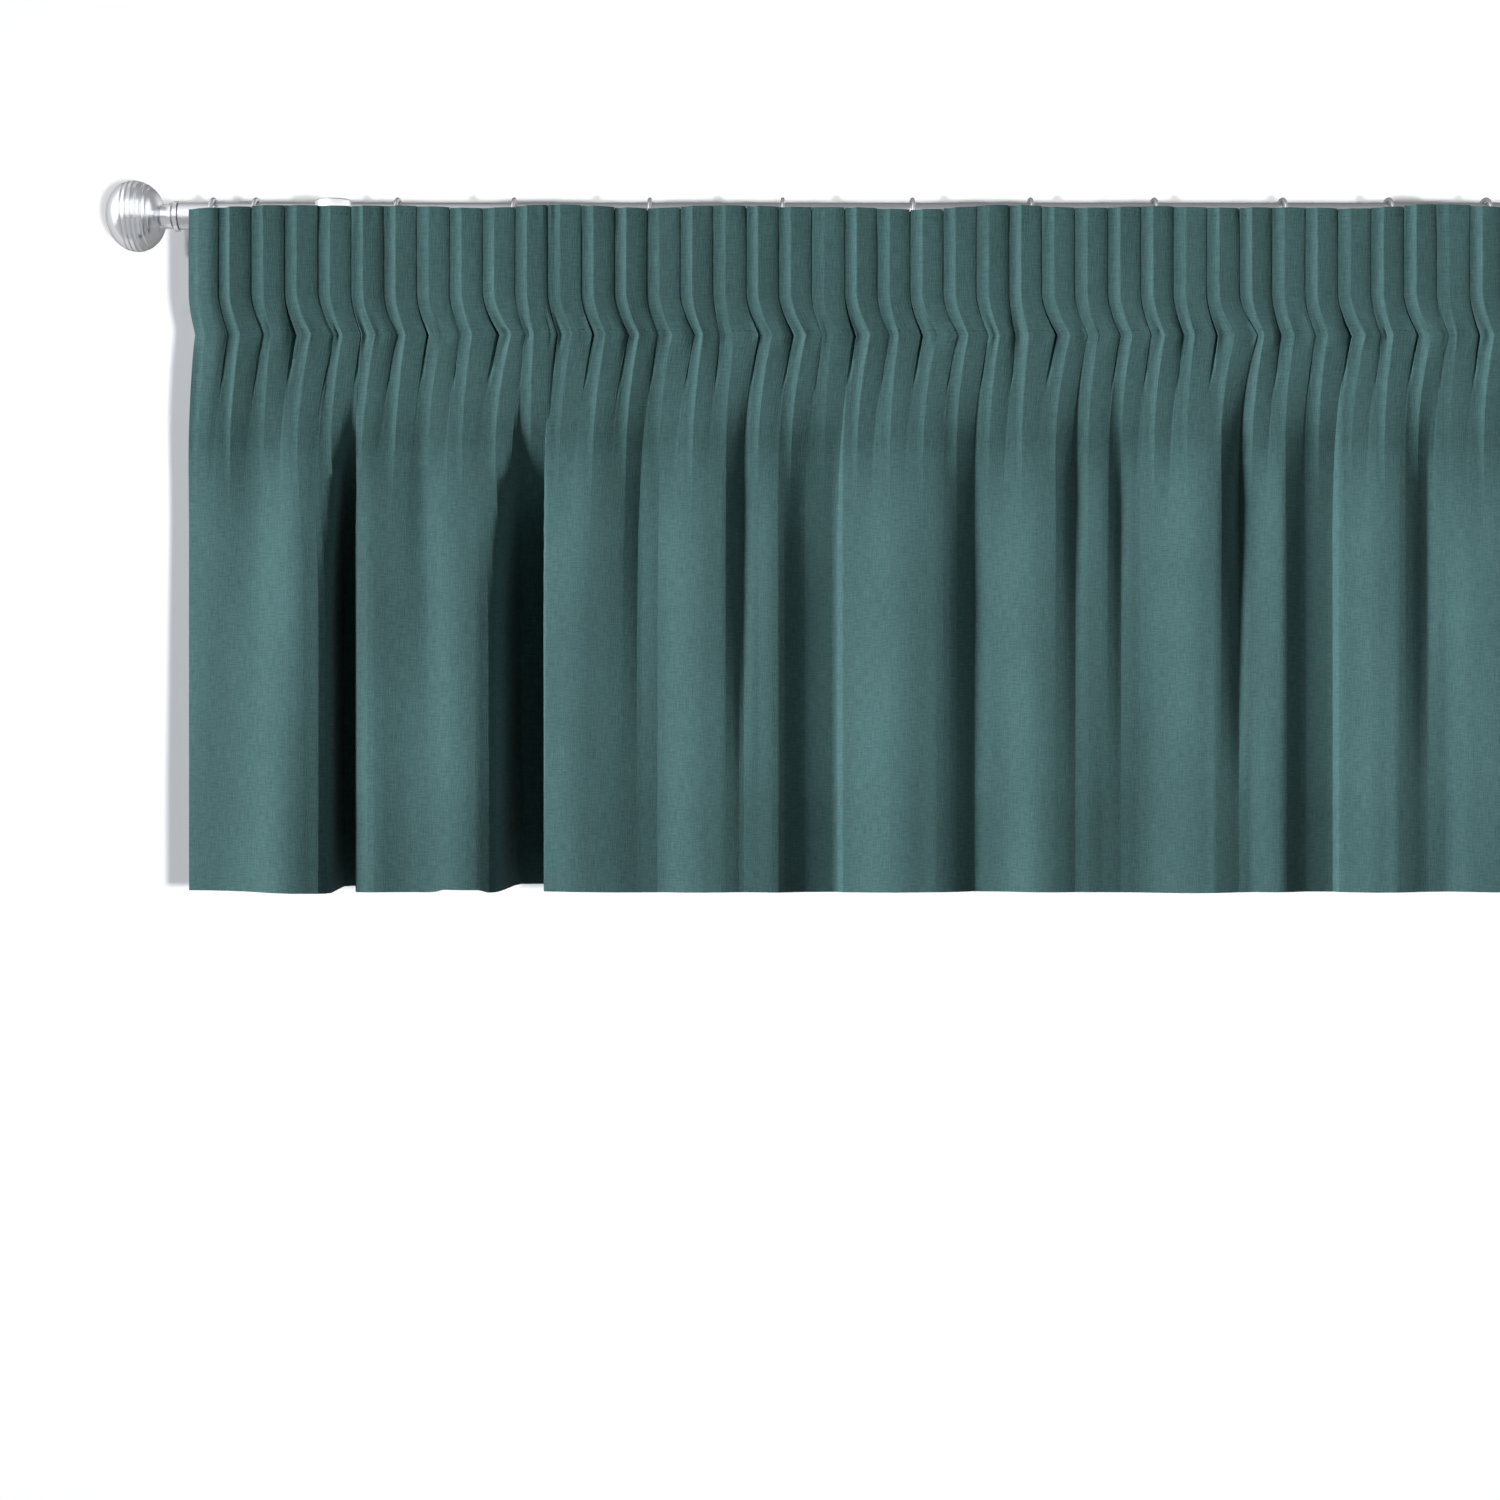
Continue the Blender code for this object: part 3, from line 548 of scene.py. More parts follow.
def metal(name, hexColour, roughness, grain, along="X", drawnOut=1):
    # plated or drawn metal: marks of a size in mm, drawn out along a tube, soften and spread its gloss
    made, tree, output = newMaterial(name)
    place = addNode(tree, "TexCoord").outputs["Object"]
    stretch = [1 / (grain * mm)] * 3
    stretch["XYZ".index(along)] /= drawnOut
    placed = addNode(tree, "Mapping", {"Vector": place, "Scale": stretch})
    marks = addNode(tree, "TexNoise", {"Vector": placed.outputs["Vector"], "Scale": 1.0, "Detail": 2})
    marks = marks.outputs["Fac"]
    rough = addNode(tree, "MapRange", {
        "Value": marks, "To Min": roughness * 0.8, "To Max": roughness * 1.25,
    }).outputs["Result"]
    bump = addNode(tree, "Bump", {"Height": marks, "Strength": 0.08, "Distance": 0.05 * mm})
    shader = addNode(tree, "BsdfPrincipled", {
        "Base Color": fromHex(hexColour), "Metallic": 1.0, "Roughness": rough,
        "Normal": bump.outputs["Normal"], "Specular Tint": (0.6, 0.6, 0.6, 1),
    })
    tree.links.new(shader.outputs["BSDF"], output.inputs["Surface"])
    return made


linen = tealLinen()
chrome = metal("satinChrome", "#EBEDF1", 0.22, 0.35)
steel = metal("drawnSteel", "#CDCFD3", 0.28, 0.35, "X", 40)
zinc = metal("zincWire", "#B4B6B9", 0.35, 0.4)


def wovenCloth(name, hexDark, hexLight, ribs):
    # plain woven white cotton or tape: fine ribs along the weft, dull and slightly uneven
    made, tree, output = newMaterial(name)
    uv = addNode(tree, "UVMap", uv_map="flatCloth").outputs["UV"]
    placed = addNode(tree, "Mapping", {"Vector": uv, "Scale": (1 / (ribs * mm), 1 / (ribs * mm), 1)})
    placed = placed.outputs["Vector"]
    rib = addNode(tree, "TexWave", {
        "Vector": placed, "Scale": 0.31, "Distortion": 1.2, "Detail": 1,
    }, bands_direction="Y")
    cell = addNode(tree, "TexNoise", {
        "Vector": placed, "Scale": 1.1, "Detail": 2,
    }, noise_dimensions="2D").outputs["Fac"]
    both = addNode(tree, "Math", {0: rib.outputs["Fac"], 1: cell}, operation="ADD").outputs["Value"]
    shade = addNode(tree, "MapRange", {"Value": both, "From Min": 0.4, "From Max": 1.5}).outputs["Result"]
    tone = addNode(tree, "Mix", {
        "Factor": shade, 6: fromHex(hexDark), 7: fromHex(hexLight),
    }, data_type="RGBA").outputs[2]
    bump = addNode(tree, "Bump", {"Height": both, "Strength": 0.4, "Distance": 0.3 * mm})
    shader = addNode(tree, "BsdfPrincipled", {
        "Base Color": tone, "Roughness": 0.85, "Specular IOR Level": 0.3, "Normal": bump.outputs["Normal"],
    })
    tree.links.new(shader.outputs["BSDF"], output.inputs["Surface"])
    return made


tapeFinish = wovenCloth("wovenTape", "#CFCBC0", "#F1EFE9", 1.2)

# the cloth and its tape

cloth = hungSheet("curtainCloth", onCloth, netAlong, netBelow, 0.0, curtain["thickness"])
dressed(cloth, linen, "cloth", "curtain_cloth")

tape = {"thickness": 0.8 * mm, "gap": 0.3 * mm, "from": 0.0015, "to": 0.0750, "inset": 0.0025,
        "flatWidth": 1.295, "columns": 900, "rows": 36, "step": 0.2 * mm}
tapeBelow = np.linspace(tape["from"], tape["to"], tape["rows"])
tapeShare = np.linspace(0, 1, tape["columns"])


def tapeLine(below):
    # the tape lies over the backs of the pleats: the cloth's line moved out by half of both thicknesses and
    # the gap between them
    reach = curtain["thickness"] / 2 + tape["gap"] + tape["thickness"] / 2
    fine = np.linspace(0, curtain["flatWidth"], 6 * netColumns)
    line = onCloth(fine, np.full(len(fine), below), np.zeros(len(fine)))
    x = np.arange(line[:, 0].min() + tape["inset"], line[:, 0].max() - tape["inset"], tape["step"])
    y = np.full(len(x), -1.0)
    cell = np.round((line[:, 0] - x[0]) / tape["step"]).astype(int)
    spread = int(reach / tape["step"])
    for step in range(-spread, spread + 1):
        here = cell + step
        inside = (here >= 0) & (here < len(x))
        out = math.sqrt(reach ** 2 - (step * tape["step"]) ** 2)
        np.maximum.at(y, here[inside], line[inside, 1] + out)
    along = lengthsAlong(np.column_stack([x, y]))
    at = tapeShare * along[-1]
    height = np.full(len(at), curtain["top"] - below)
    return np.column_stack([np.interp(at, along, x), np.interp(at, along, y), height])


tapeNet = np.array([tapeLine(below) for below in tapeBelow])
tapeWays = outOfBack(tapeNet)


def onTape(along, below, behind):
    # points on the hung tape for places on the flat tape
    column = np.clip(along / tape["flatWidth"], 0, 1) * (tape["columns"] - 1)
    return onNet(tapeNet, tapeWays, np.interp(below, tapeBelow, np.arange(tape["rows"])), column, behind)


def cordChannels(along, below):
    # the woven channels that hold the three draw cords stand a little proud
    raised = np.zeros(len(along))
    for middle in (0.0095, 0.0380, 0.0665):
        raised += 0.55 * mm * np.exp(-((below - middle) / 0.0022) ** 4)
    return raised


headingTape = hungSheet(
    "headingTape", onTape, tapeShare * tape["flatWidth"], tapeBelow, cordChannels, tape["thickness"])
dressed(headingTape, tapeFinish, "tape", "heading_tape")
print("cloth and tape hung")

# the doubled cloth of the hems, on the back
hem = {"height": 0.030, "sideWidth": 0.018, "thickness": 0.6 * mm, "gap": 0.15 * mm, "inset": 0.0012}
hemBottom = np.linspace(curtain["drop"] - hem["height"], curtain["drop"] - hem["inset"], 6)
hemSide = np.linspace(tape["to"] + 0.004, curtain["drop"] - hem["height"] - 0.001, 60)
hemAcross = np.linspace(hem["inset"], hem["sideWidth"], 16)
hems = [
    hungSheet(name, onCloth, along, below, curtain["thickness"] / 2 + hem["gap"] + hem["thickness"] / 2,
              hem["thickness"])
    for name, along, below in (
        ("bottomHem", np.clip(netAlong, hem["inset"], curtain["flatWidth"] - hem["inset"]), hemBottom),
        ("leftHem", hemAcross, hemSide),
        ("rightHem", curtain["flatWidth"] - hemAcross[::-1], hemSide))
]
for piece in hems:
    dressed(piece, linen, "cloth")


stitch = {"pitch": 3.0 * mm, "length": 2.5 * mm, "thread": 0.35 * mm, "rows": (0.0045, 0.0725)}
# a stitch dips into the cloth at both ends: share of its length, lift and width as shares of the thread
stitchForm = [(-0.5, -0.6, 0.5), (-0.22, 0.35, 1.0), (0.22, 0.35, 1.0), (0.5, -0.6, 0.5)]


def stitchRow(name, start, end, below, place, behind, material, slot):
    # one row of lockstitch along the cloth or the tape
    count = int((end - start) / stitch["pitch"])
    along = start + (end - start) * (np.arange(count) + 0.5) / count
    below = np.full(count, below)
    lines = []
    for share, lift, _ in stitchForm:
        height = behind + math.copysign(stitch["thread"], behind) * lift * 0.5
        lines.append(place(along + share * stitch["length"], below, np.full(count, height)))
    ahead = lines[-1] - lines[0]
    ahead /= np.linalg.norm(ahead, axis=1)[:, None]
    out = place(along, below, np.full(count, behind)) - place(along, below, np.zeros(count))
    out /= np.linalg.norm(out, axis=1)[:, None]
    beside = np.cross(ahead, out)
    beside /= np.linalg.norm(beside, axis=1)[:, None]
    corners, faces = [], []
    for line, (_, _, width) in zip(lines, stitchForm):
        for angle in np.radians((45, 135, 225, 315)):
            corner = beside * math.cos(angle) + out * math.sin(angle)
            corners.append(line + corner * stitch["thread"] / 2 * width)
    points = np.array(corners).transpose(1, 0, 2).reshape(-1, 3)
    for base in range(0, 16 * count, 16):
        for ring in range(base, base + 12, 4):
            faces += [(ring + i, ring + (i + 1) % 4, ring + (i + 1) % 4 + 4, ring + i + 4) for i in range(4)]
        faces += [(base + 3, base + 2, base + 1, base), (base + 12, base + 13, base + 14, base + 15)]
    mesh = bpy.data.meshes.new(name)
    mesh.from_pydata(points.tolist(), [], faces)
    piece = bpy.data.objects.new(name, mesh)
    bpy.context.scene.collection.objects.link(piece)
    outwards(piece)
    smoothed(piece, 70)
    return dressed(piece, material, slot)


def dyedThread(name, hexColour):
    # twisted polyester thread: plain dyed, with a slight silky gloss
    made, tree, output = newMaterial(name)
    place = addNode(tree, "TexCoord").outputs["Object"]
    twist = addNode(tree, "TexNoise", {"Vector": place, "Scale": 1800.0, "Detail": 1}).outputs["Fac"]
    dark = tuple(c * 0.85 for c in fromHex(hexColour)[:3]) + (1,)
    tone = addNode(tree, "Mix", {"Factor": twist, 6: dark, 7: fromHex(hexColour)}, data_type="RGBA")
    shader = addNode(tree, "BsdfPrincipled", {
        "Base Color": tone.outputs[2], "Roughness": 0.6, "Specular IOR Level": 0.4,
    })
    tree.links.new(shader.outputs["BSDF"], output.inputs["Surface"])
    return made


tealThread = dyedThread("tealThread", "#557B7D")
whiteThread = dyedThread("whiteThread", "#F0EEE8")
stitches = [
    stitchRow(name, 0.003, curtain["flatWidth"] - 0.003, below, onCloth, -curtain["thickness"] / 2,
              tealThread, "cloth")
    for name, below in zip(("topStitches", "lowerStitches"), stitch["rows"])
]
tapeStitches = [
    stitchRow(name, 0.002, tape["flatWidth"] - 0.002, below, onTape, tape["thickness"] / 2,
              whiteThread, "tape")
    for name, below in zip(("tapeTopStitches", "tapeLowerStitches"), stitch["rows"])
]
print("hems and stitches sewn")

# rod and finials

rod = {"y": -0.115, "z": 0.019, "diameter": 0.016, "left": -0.093, "right": 0.809, "wall": 0.0012}
finial = {"radius": 0.0209, "halfLength": 0.0173, "fromRod": 0.0259, "neck": 0.0075, "collar": 0.0088,
          "collarLength": 0.003, "spigot": 0.018, "gap": 0.3 * mm, "sides": 96,
          "grooves": 6, "pitch": 0.0029, "width": 0.0012, "depth": 0.0009, "offset": -0.0030}

letGo()
bpy.ops.mesh.primitive_cylinder_add(
    vertices=96, radius=rod["diameter"] / 2, depth=rod["right"] - rod["left"], end_fill_type="NOTHING",
    location=((rod["left"] + rod["right"]) / 2, rod["y"], rod["z"]), rotation=(0, math.radians(90), 0))
curtainRod = bpy.context.object
curtainRod.name = "curtainRod"
wall = curtainRod.modifiers.new("Wall", "SOLIDIFY")
wall.thickness = rod["wall"]
wall.offset = -1
edge = curtainRod.modifiers.new("Edge", "BEVEL")
edge.width = 0.0003
edge.segments = 2
edge.limit_method = "ANGLE"
applied(curtainRod)
smoothed(curtainRod)
dressed(curtainRod, steel, "rod", "rod_tube")


def ballOutline():
    # (radius, distance from the rod's end), from the spigot in the rod over collar, neck and grooved ball
    f = finial
    spigot = rod["diameter"] / 2 - rod["wall"] - f["gap"]
    rings = [
        (spigot - 0.4 * mm, -f["spigot"]), (spigot, -f["spigot"] + 0.4 * mm), (spigot, 0),
        (f["collar"] - 0.3 * mm, 0), (f["collar"], 0.3 * mm), (f["collar"], f["collarLength"] - 0.5 * mm),
        (f["collar"] - 0.5 * mm, f["collarLength"]),
    ]
    start = -f["halfLength"] * math.sqrt(1 - (f["neck"] / f["radius"]) ** 2)
    for share in np.linspace(0.15, 1, 6):
        # the neck's hollow curve
        hollow = f["neck"] - 0.5 * mm * math.sin(math.pi * share)
        rings.append((hollow, f["collarLength"] + (f["fromRod"] + start - f["collarLength"]) * share))
    first = f["offset"] - f["pitch"] * (f["grooves"] - 1) / 2
    last = first + f["pitch"] * (f["grooves"] - 1)
    places = [(place, 0) for place in np.linspace(start, first - f["width"], 9)[1:]]
    for i in range(f["grooves"]):
        # a groove with round shoulders
        for share, low in ((-0.55, 0.15), (-0.3, 0.8), (0, 1), (0.3, 0.8), (0.55, 0.15)):
            places.append((first + f["pitch"] * i + share * f["width"], low * f["depth"]))
    cap = math.asin((last + f["width"]) / f["halfLength"])
    places += [(math.sin(turn) * f["halfLength"], 0) for turn in np.linspace(cap, math.radians(88), 16)]
    for place, low in places:
        radius = f["radius"] * math.sqrt(max(0.0, 1 - (place / f["halfLength"]) ** 2))
        rings.append((radius - low, f["fromRod"] + place))
    return rings


outline = ballOutline()
for name, node, end, way in (
        ("leftFinial", "finial_left", rod["left"], -1), ("rightFinial", "finial_right", rod["right"], 1)):
    piece = turnedPiece(name, "X", (0, 0, 0), outline, finial["sides"])
    piece.rotation_euler = (0, 0, 0 if way > 0 else math.pi)
    piece.location = (end + way * finial["gap"], rod["y"], rod["z"])
    applied(piece)
    smoothed(piece, 35)
    dressed(piece, chrome, "chrome", node)
print("rod and finials turned")

# rings with their sewing eyes, and the hooks

rings = {"y": -0.115, "z": 0.0153, "radius": 0.0133, "wire": 0.0026,
         "eyeZ": -0.0012, "eyeRadius": 0.0032, "eyeWire": 0.0018,
         # shares of the drawn-up width
         "places": (0.010, 0.039, 0.135, 0.214, 0.306, 0.396, 0.484,
                    0.564, 0.648, 0.735, 0.807, 0.873, 0.946, 0.986)}
hook = {"wire": 1.6 * mm, "gap": 0.3 * mm, "top": 0.0108, "bottom": -0.0132, "bend": 2.75 * mm,
        "arch": -0.0024, "end": -0.11045}


def combined(piece, others, operation="DIFFERENCE"):
    # boolean cuts or welds, with the other pieces taken away afterwards
    for other in others:
        step = piece.modifiers.new("Combine", "BOOLEAN")
        step.operation = operation
        step.solver = "EXACT"
        step.object = other
    applied(piece)
    for other in others:
        bpy.data.objects.remove(other)
    return piece


def copied(piece, name, move):
    twin = piece.copy()
    twin.data = piece.data.copy()
    twin.name = name
    bpy.context.scene.collection.objects.link(twin)
    twin.location = move
    return applied(twin)


def torus(radius, wire, height, turn, sides, wireSides):
    letGo()
    bpy.ops.mesh.primitive_torus_add(
        major_segments=sides, minor_segments=wireSides, major_radius=radius, minor_radius=wire / 2,
        location=(0, rings["y"], height), rotation=turn)
    return applied(bpy.context.object)


hoop = torus(rings["radius"], rings["wire"], rings["z"], (0, math.radians(90), 0), 72, 16)
eye = torus(rings["eyeRadius"], rings["eyeWire"], rings["eyeZ"], (math.radians(90), 0, 0), 36, 12)
combined(hoop, [eye], "UNION")
smoothed(hoop, 50)
ringPlaces = [curtain["left"] + share * curtain["gatheredWidth"] for share in rings["places"]]
for number, x in enumerate(ringPlaces, 1):
    dressed(copied(hoop, f"ring{number:02d}", (x, 0, 0)), chrome, "chrome", f"ring_{number:02d}")
bpy.data.objects.remove(hoop)


def hookLeg(x):
    # how far back the hook's leg stands: just behind the tape, over the leg's own height
    nearX = np.abs(tapeNet[:, :, 0] - x) < 1.6 * mm
    nearZ = (tapeNet[:, :, 2] > hook["bottom"] - 1.5 * mm) & (tapeNet[:, :, 2] < hook["top"] + mm)
    backs = tapeNet[:, :, 1] + cordChannels(np.zeros(tape["rows"]), tapeBelow)[:, None]
    return backs[nearX & nearZ].max() + tape["thickness"] / 2 + hook["gap"] + hook["wire"] / 2


def hookLine(leg):
    # down the leg, round the bottom bend, up into the eye, over its wire and down again
    bend, arch, end = hook["bend"], hook["arch"], hook["end"]
    quarter = np.linspace(0, math.pi / 2, 6)
    line = [(leg, hook["top"]), (leg, (hook["top"] + hook["bottom"]) / 2)]
    for a in np.linspace(0, math.pi, 13):
        line.append((leg + bend * (1 - math.cos(a)), hook["bottom"] - bend * math.sin(a)))
    for a in quarter:
        line.append((leg + 2 * bend + 0.8 * bend * (1 - math.cos(a)), arch - bend + bend * math.sin(a)))
    for a in quarter:
        line.append((end - bend * (1 - math.sin(a)), arch - bend * (1 - math.cos(a))))
    return [*line, (end, arch - 2 * bend)]


for number, x in enumerate(ringPlaces, 1):
    line = hookLine(hookLeg(x))
    path = bpy.data.curves.new(f"hook{number:02d}", "CURVE")
    path.dimensions = "3D"
    path.bevel_depth = hook["wire"] / 2
    path.bevel_resolution = 3
    path.use_fill_caps = True
    strand = path.splines.new("POLY")
    strand.points.add(len(line) - 1)
    for point, (y, z) in zip(strand.points, line):
        point.co = (x, y, z, 1)
    piece = bpy.data.objects.new(f"hook{number:02d}", path)
    bpy.context.scene.collection.objects.link(piece)
    letGo()
    piece.select_set(True)
    bpy.context.view_layer.objects.active = piece
    bpy.ops.object.convert(target="MESH")
    piece = outwards(bpy.context.object)
    smoothed(piece, 50)
    dressed(piece, zinc, "hook_wire", f"hook_{number:02d}")
print("rings and hooks made")

# brackets

bracket = {"places": (0.0, 0.716), "plate": 0.023, "boss": 0.009, "socket": 0.0053, "arm": 0.005,
           "headRadius": 0.0135, "headFrom": -0.011, "headTo": 0.027, "notch": 0.0083,
           "screwHole": 0.0023, "sink": 0.0043, "holeZ": 0.0155,
           "clampHole": 0.0023, "shank": 0.002, "thread": 0.25 * mm, "threadPitch": 0.35 * mm,
           "thumb": 0.0045, "knurls": 48}


def cylinder(sides, radius, depth, place, turn=(0, 0, 0)):
    letGo()
    bpy.ops.mesh.primitive_cylinder_add(
        vertices=sides, radius=radius, depth=depth, location=place, rotation=turn)
    return applied(bpy.context.object)


def wallPlate(name, x):
    # a turned plate with a boss for the arm and two countersunk screw holes
    plate, boss, socket = bracket["plate"], bracket["boss"], bracket["socket"]
    hole, sink = bracket["screwHole"], bracket["sink"]
    piece = turnedPiece(name, "Y", (x, 0, 0), [
        (plate - 0.3 * mm, 0), (plate, 0.3 * mm), (plate, 3.0 * mm), (plate - 0.3 * mm, 3.6 * mm),
        (plate - mm, 4.0 * mm), (boss + mm, 4.0 * mm), (boss + 0.2 * mm, 4.3 * mm), (boss, 5.2 * mm),
        (boss, 11.4 * mm), (boss - 0.6 * mm, 12 * mm), (socket + 0.2 * mm, 12 * mm), (socket, 11.8 * mm),
        (socket, 3 * mm)], 96)
    return combined(piece, [
        turnedPiece("sink", "Y", (x, 0, way * bracket["holeZ"]), [
            (hole, -1 * mm), (hole, 2.0 * mm), (sink, 4.0 * mm), (sink, 6 * mm)], 48)
        for way in (-1, 1)])


def bracketArm(name, x):
    arm = bracket["arm"]
    return turnedPiece(name, "Y", (x, 0, 0), [
        (arm - 0.3 * mm, 3.3 * mm), (arm, 3.6 * mm), (arm, 106.9 * mm), (arm - 0.3 * mm, 107.2 * mm)], 64)


def bracketHead(name, x):
    # a short upright with an open notch for the rod, a socket for the arm and a hole for the clamp screw
    radius, low, high = bracket["headRadius"], bracket["headFrom"], bracket["headTo"]
    piece = turnedPiece(name, "Z", (x, rod["y"], 0), [
        (radius - mm, low), (radius - 0.3 * mm, low + 0.4 * mm), (radius, low + mm), (radius, high - mm),
        (radius - 0.3 * mm, high - 0.4 * mm), (radius - mm, high)], 96)
    bed = cylinder(96, bracket["notch"], 0.04, (x, rod["y"], rod["z"]), (0, math.radians(90), 0))
    bpy.ops.mesh.primitive_cube_add(
        size=1, location=(x, rod["y"], rod["z"] + 0.01), scale=(0.04, 2 * bracket["notch"], 0.02))
    slot = applied(bpy.context.object)
    socket = cylinder(64, bracket["socket"], 0.0125, (x, -0.10125, 0), (math.radians(90), 0, 0))
    clampHole = cylinder(48, bracket["clampHole"], 0.03, (x, rod["y"], -0.002))
    return combined(piece, [bed, slot, socket, clampHole])


def clampScrew(name, x):
    # a knurled head below, a threaded shank up to the rod
    shank, thumb = bracket["shank"], bracket["thumb"]
    threads = []
    for i in range(61):
        threads.append((shank - (bracket["thread"] if i % 2 else 0), -11.0 * mm + i * bracket["threadPitch"]))
    piece = turnedPiece(name, "Z", (x, rod["y"], 0), [
        (thumb - 0.6 * mm, -16.3 * mm), (thumb - 0.15 * mm, -15.9 * mm), (thumb, -15.5 * mm),
        (thumb, -12.1 * mm), (thumb - 0.5 * mm, -11.3 * mm), (shank, -11.3 * mm), *threads,
        (shank - 0.5 * mm, 10.7 * mm)], bracket["knurls"])
    for vertex in piece.data.vertices:
        out = Vector((vertex.co.x - x, vertex.co.y - rod["y"]))
        knurl = round(math.degrees(math.atan2(out.y, out.x)) / (360 / bracket["knurls"]))
        if out.length > thumb - 0.05 * mm and knurl % 2:
            vertex.co.x -= out.x * 0.06
            vertex.co.y -= out.y * 0.06
    return piece


for x, side in zip(bracket["places"], ("Left", "Right")):
    for name, node, made in (
            ("wallPlate", "wall_plate", wallPlate), ("bracketArm", "bracket_arm", bracketArm),
            ("bracketHead", "bracket_head", bracketHead), ("clampScrew", "clamp_screw", clampScrew)):
        piece = made(name + side, x)
        smoothed(piece, 35)
        dressed(piece, chrome, "chrome", f"{node}_{side.lower()}")
print("brackets made")

# stage and light

stage = {
    # the wall's glow seen only in the metal is a painted reflection, stronger beside the left ball
    "wallSize": 8.0, "wallColour": "#F2F2F2", "wallGlow": 0.02, "wallReflectionGlow": 0.36, "wallReflectionGlowLeft": 0.8,
    "floorZ": -1.10, "floorColour": "#F4F4F4", "floorGlow": 0.35,
    "keyAzimuth": 64, "keyHeight": 18, "keyStrength": 3.3, "keyAngle": 22,
    "backStrength": 1.6, "backAngle": 25, "ambient": 0.09, "mirroredStudio": 1.33,
    "lowWallStrength": 1.52, "lowWallTint": (0.94, 0.99, 1.05), "wallSunAngle": 1.5, "nearWallStrength": 27,
}


def sunLamp(name, travels, strength, angle):
    lamp = bpy.data.lights.new(name, "SUN")
    lamp.energy = strength
    lamp.angle = math.radians(angle)
    holder = bpy.data.objects.new(name, lamp)
    holder.rotation_mode = "QUATERNION"
    holder.rotation_quaternion = Vector(travels).to_track_quat("-Z", "Y")
    bpy.context.scene.collection.objects.link(holder)
    return holder


def nearLamp(name, place, strength):
    # a small round lamp beside the camera, whose light doesn't weaken with the distance
    lamp = bpy.data.lights.new(name, "POINT")
    lamp.energy = strength
    lamp.shadow_soft_size = 0.02
    lamp.use_nodes = True
    tree = lamp.node_tree
    tree.nodes.clear()
    even = addNode(tree, "LightFalloff", {"Strength": 1.0})
    glow = addNode(tree, "Emission", {"Color": (1, 1, 1, 1), "Strength": even.outputs["Constant"]})
    addNode(tree, "OutputLight", {"Surface": glow.outputs["Emission"]})
    holder = bpy.data.objects.new(name, lamp)
    holder.location = place
    bpy.context.scene.collection.objects.link(holder)
    return holder


def plainWall():
    # painted wall: white where the light reaches it, pale grey in the object's shadow. In the metal it shows
    # as a set glow instead, plain grey and lighter beside the left ball: a painted reflection. Other rays, and
    # the camera behind it, pass through
    made, tree, output = newMaterial("plainWall")
    path = addNode(tree, "LightPath")
    surface = addNode(tree, "NewGeometry")
    seen = path.outputs["Is Camera Ray"]
    for kind in ("Is Glossy Ray", "Is Transmission Ray"):
        seen = addNode(tree, "Math", {0: seen, 1: path.outputs[kind]}, operation="MAXIMUM").outputs["Value"]
    front = addNode(tree, "Math", {0: 1.0, 1: surface.outputs["Backfacing"]}, operation="SUBTRACT")
    shown = addNode(tree, "Math", {0: seen, 1: front.outputs["Value"]}, operation="MULTIPLY")
    glow = addNode(tree, "Emission", {"Color": (1, 1, 1, 1), "Strength": stage["wallGlow"]})
    paint = addNode(tree, "BsdfDiffuse", {"Color": fromHex(stage["wallColour"])})
    both = addNode(tree, "AddShader", {0: glow.outputs["Emission"], 1: paint.outputs["BSDF"]})
    across = addNode(tree, "SeparateXYZ", {"Vector": surface.outputs["Position"]})
    # painted reflection: a glow seen only by glossy rays, stronger towards the left ball
    beside = addNode(tree, "MapRange", {
        "Value": across.outputs["X"], "From Min": -0.10, "From Max": -0.17,
        "To Min": stage["wallReflectionGlow"], "To Max": stage["wallReflectionGlowLeft"],
    })
    paintedReflection = addNode(tree, "Emission", {"Color": (1, 1, 1, 1), "Strength": beside.outputs["Result"]})
    plain = addNode(tree, "MixShader", {
        0: path.outputs["Is Glossy Ray"], 1: both.outputs["Shader"], 2: paintedReflection.outputs["Emission"],
    })
    clear = addNode(tree, "BsdfTransparent")
    mixed = addNode(tree, "MixShader", {
        0: shown.outputs["Value"], 1: clear.outputs["BSDF"], 2: plain.outputs["Shader"],
    })
    tree.links.new(mixed.outputs["Shader"], output.inputs["Surface"])
    return made


def paleFloor():
    # painted floor, pale grey, with a little glow for the camera
    made, tree, output = newMaterial("paleFloor")
    path = addNode(tree, "LightPath")
    lit = addNode(tree, "Math", {
        0: path.outputs["Is Camera Ray"], 1: stage["floorGlow"],
    }, operation="MULTIPLY")
    glow = addNode(tree, "Emission", {"Strength": lit.outputs["Value"]})
    paint = addNode(tree, "BsdfDiffuse", {"Color": fromHex(stage["floorColour"])})
    both = addNode(tree, "AddShader", {0: glow.outputs["Emission"], 1: paint.outputs["BSDF"]})
    tree.links.new(both.outputs["Shader"], output.inputs["Surface"])
    return made


letGo()
bpy.ops.mesh.primitive_plane_add(
    size=stage["wallSize"], location=(0.35, 0, 0), rotation=(math.radians(90), 0, 0))
roomWall = bpy.context.object
roomWall.name = "roomWall"
roomWall.data.materials.append(plainWall())
bpy.ops.mesh.primitive_plane_add(size=stage["wallSize"], location=(0.35, 0, stage["floorZ"]))
roomFloor = bpy.context.object
roomFloor.name = "roomFloor"
roomFloor.data.materials.append(paleFloor())
roomFloor.visible_shadow = False
roomFloor.visible_diffuse = False

# a soft key from the left, in front of the curtain
side, up = math.radians(stage["keyAzimuth"]), math.radians(stage["keyHeight"])
towards = (math.sin(side) * math.cos(up), math.cos(side) * math.cos(up), -math.sin(up))
keyLamp = sunLamp("keyLamp", towards, stage["keyStrength"], stage["keyAngle"])
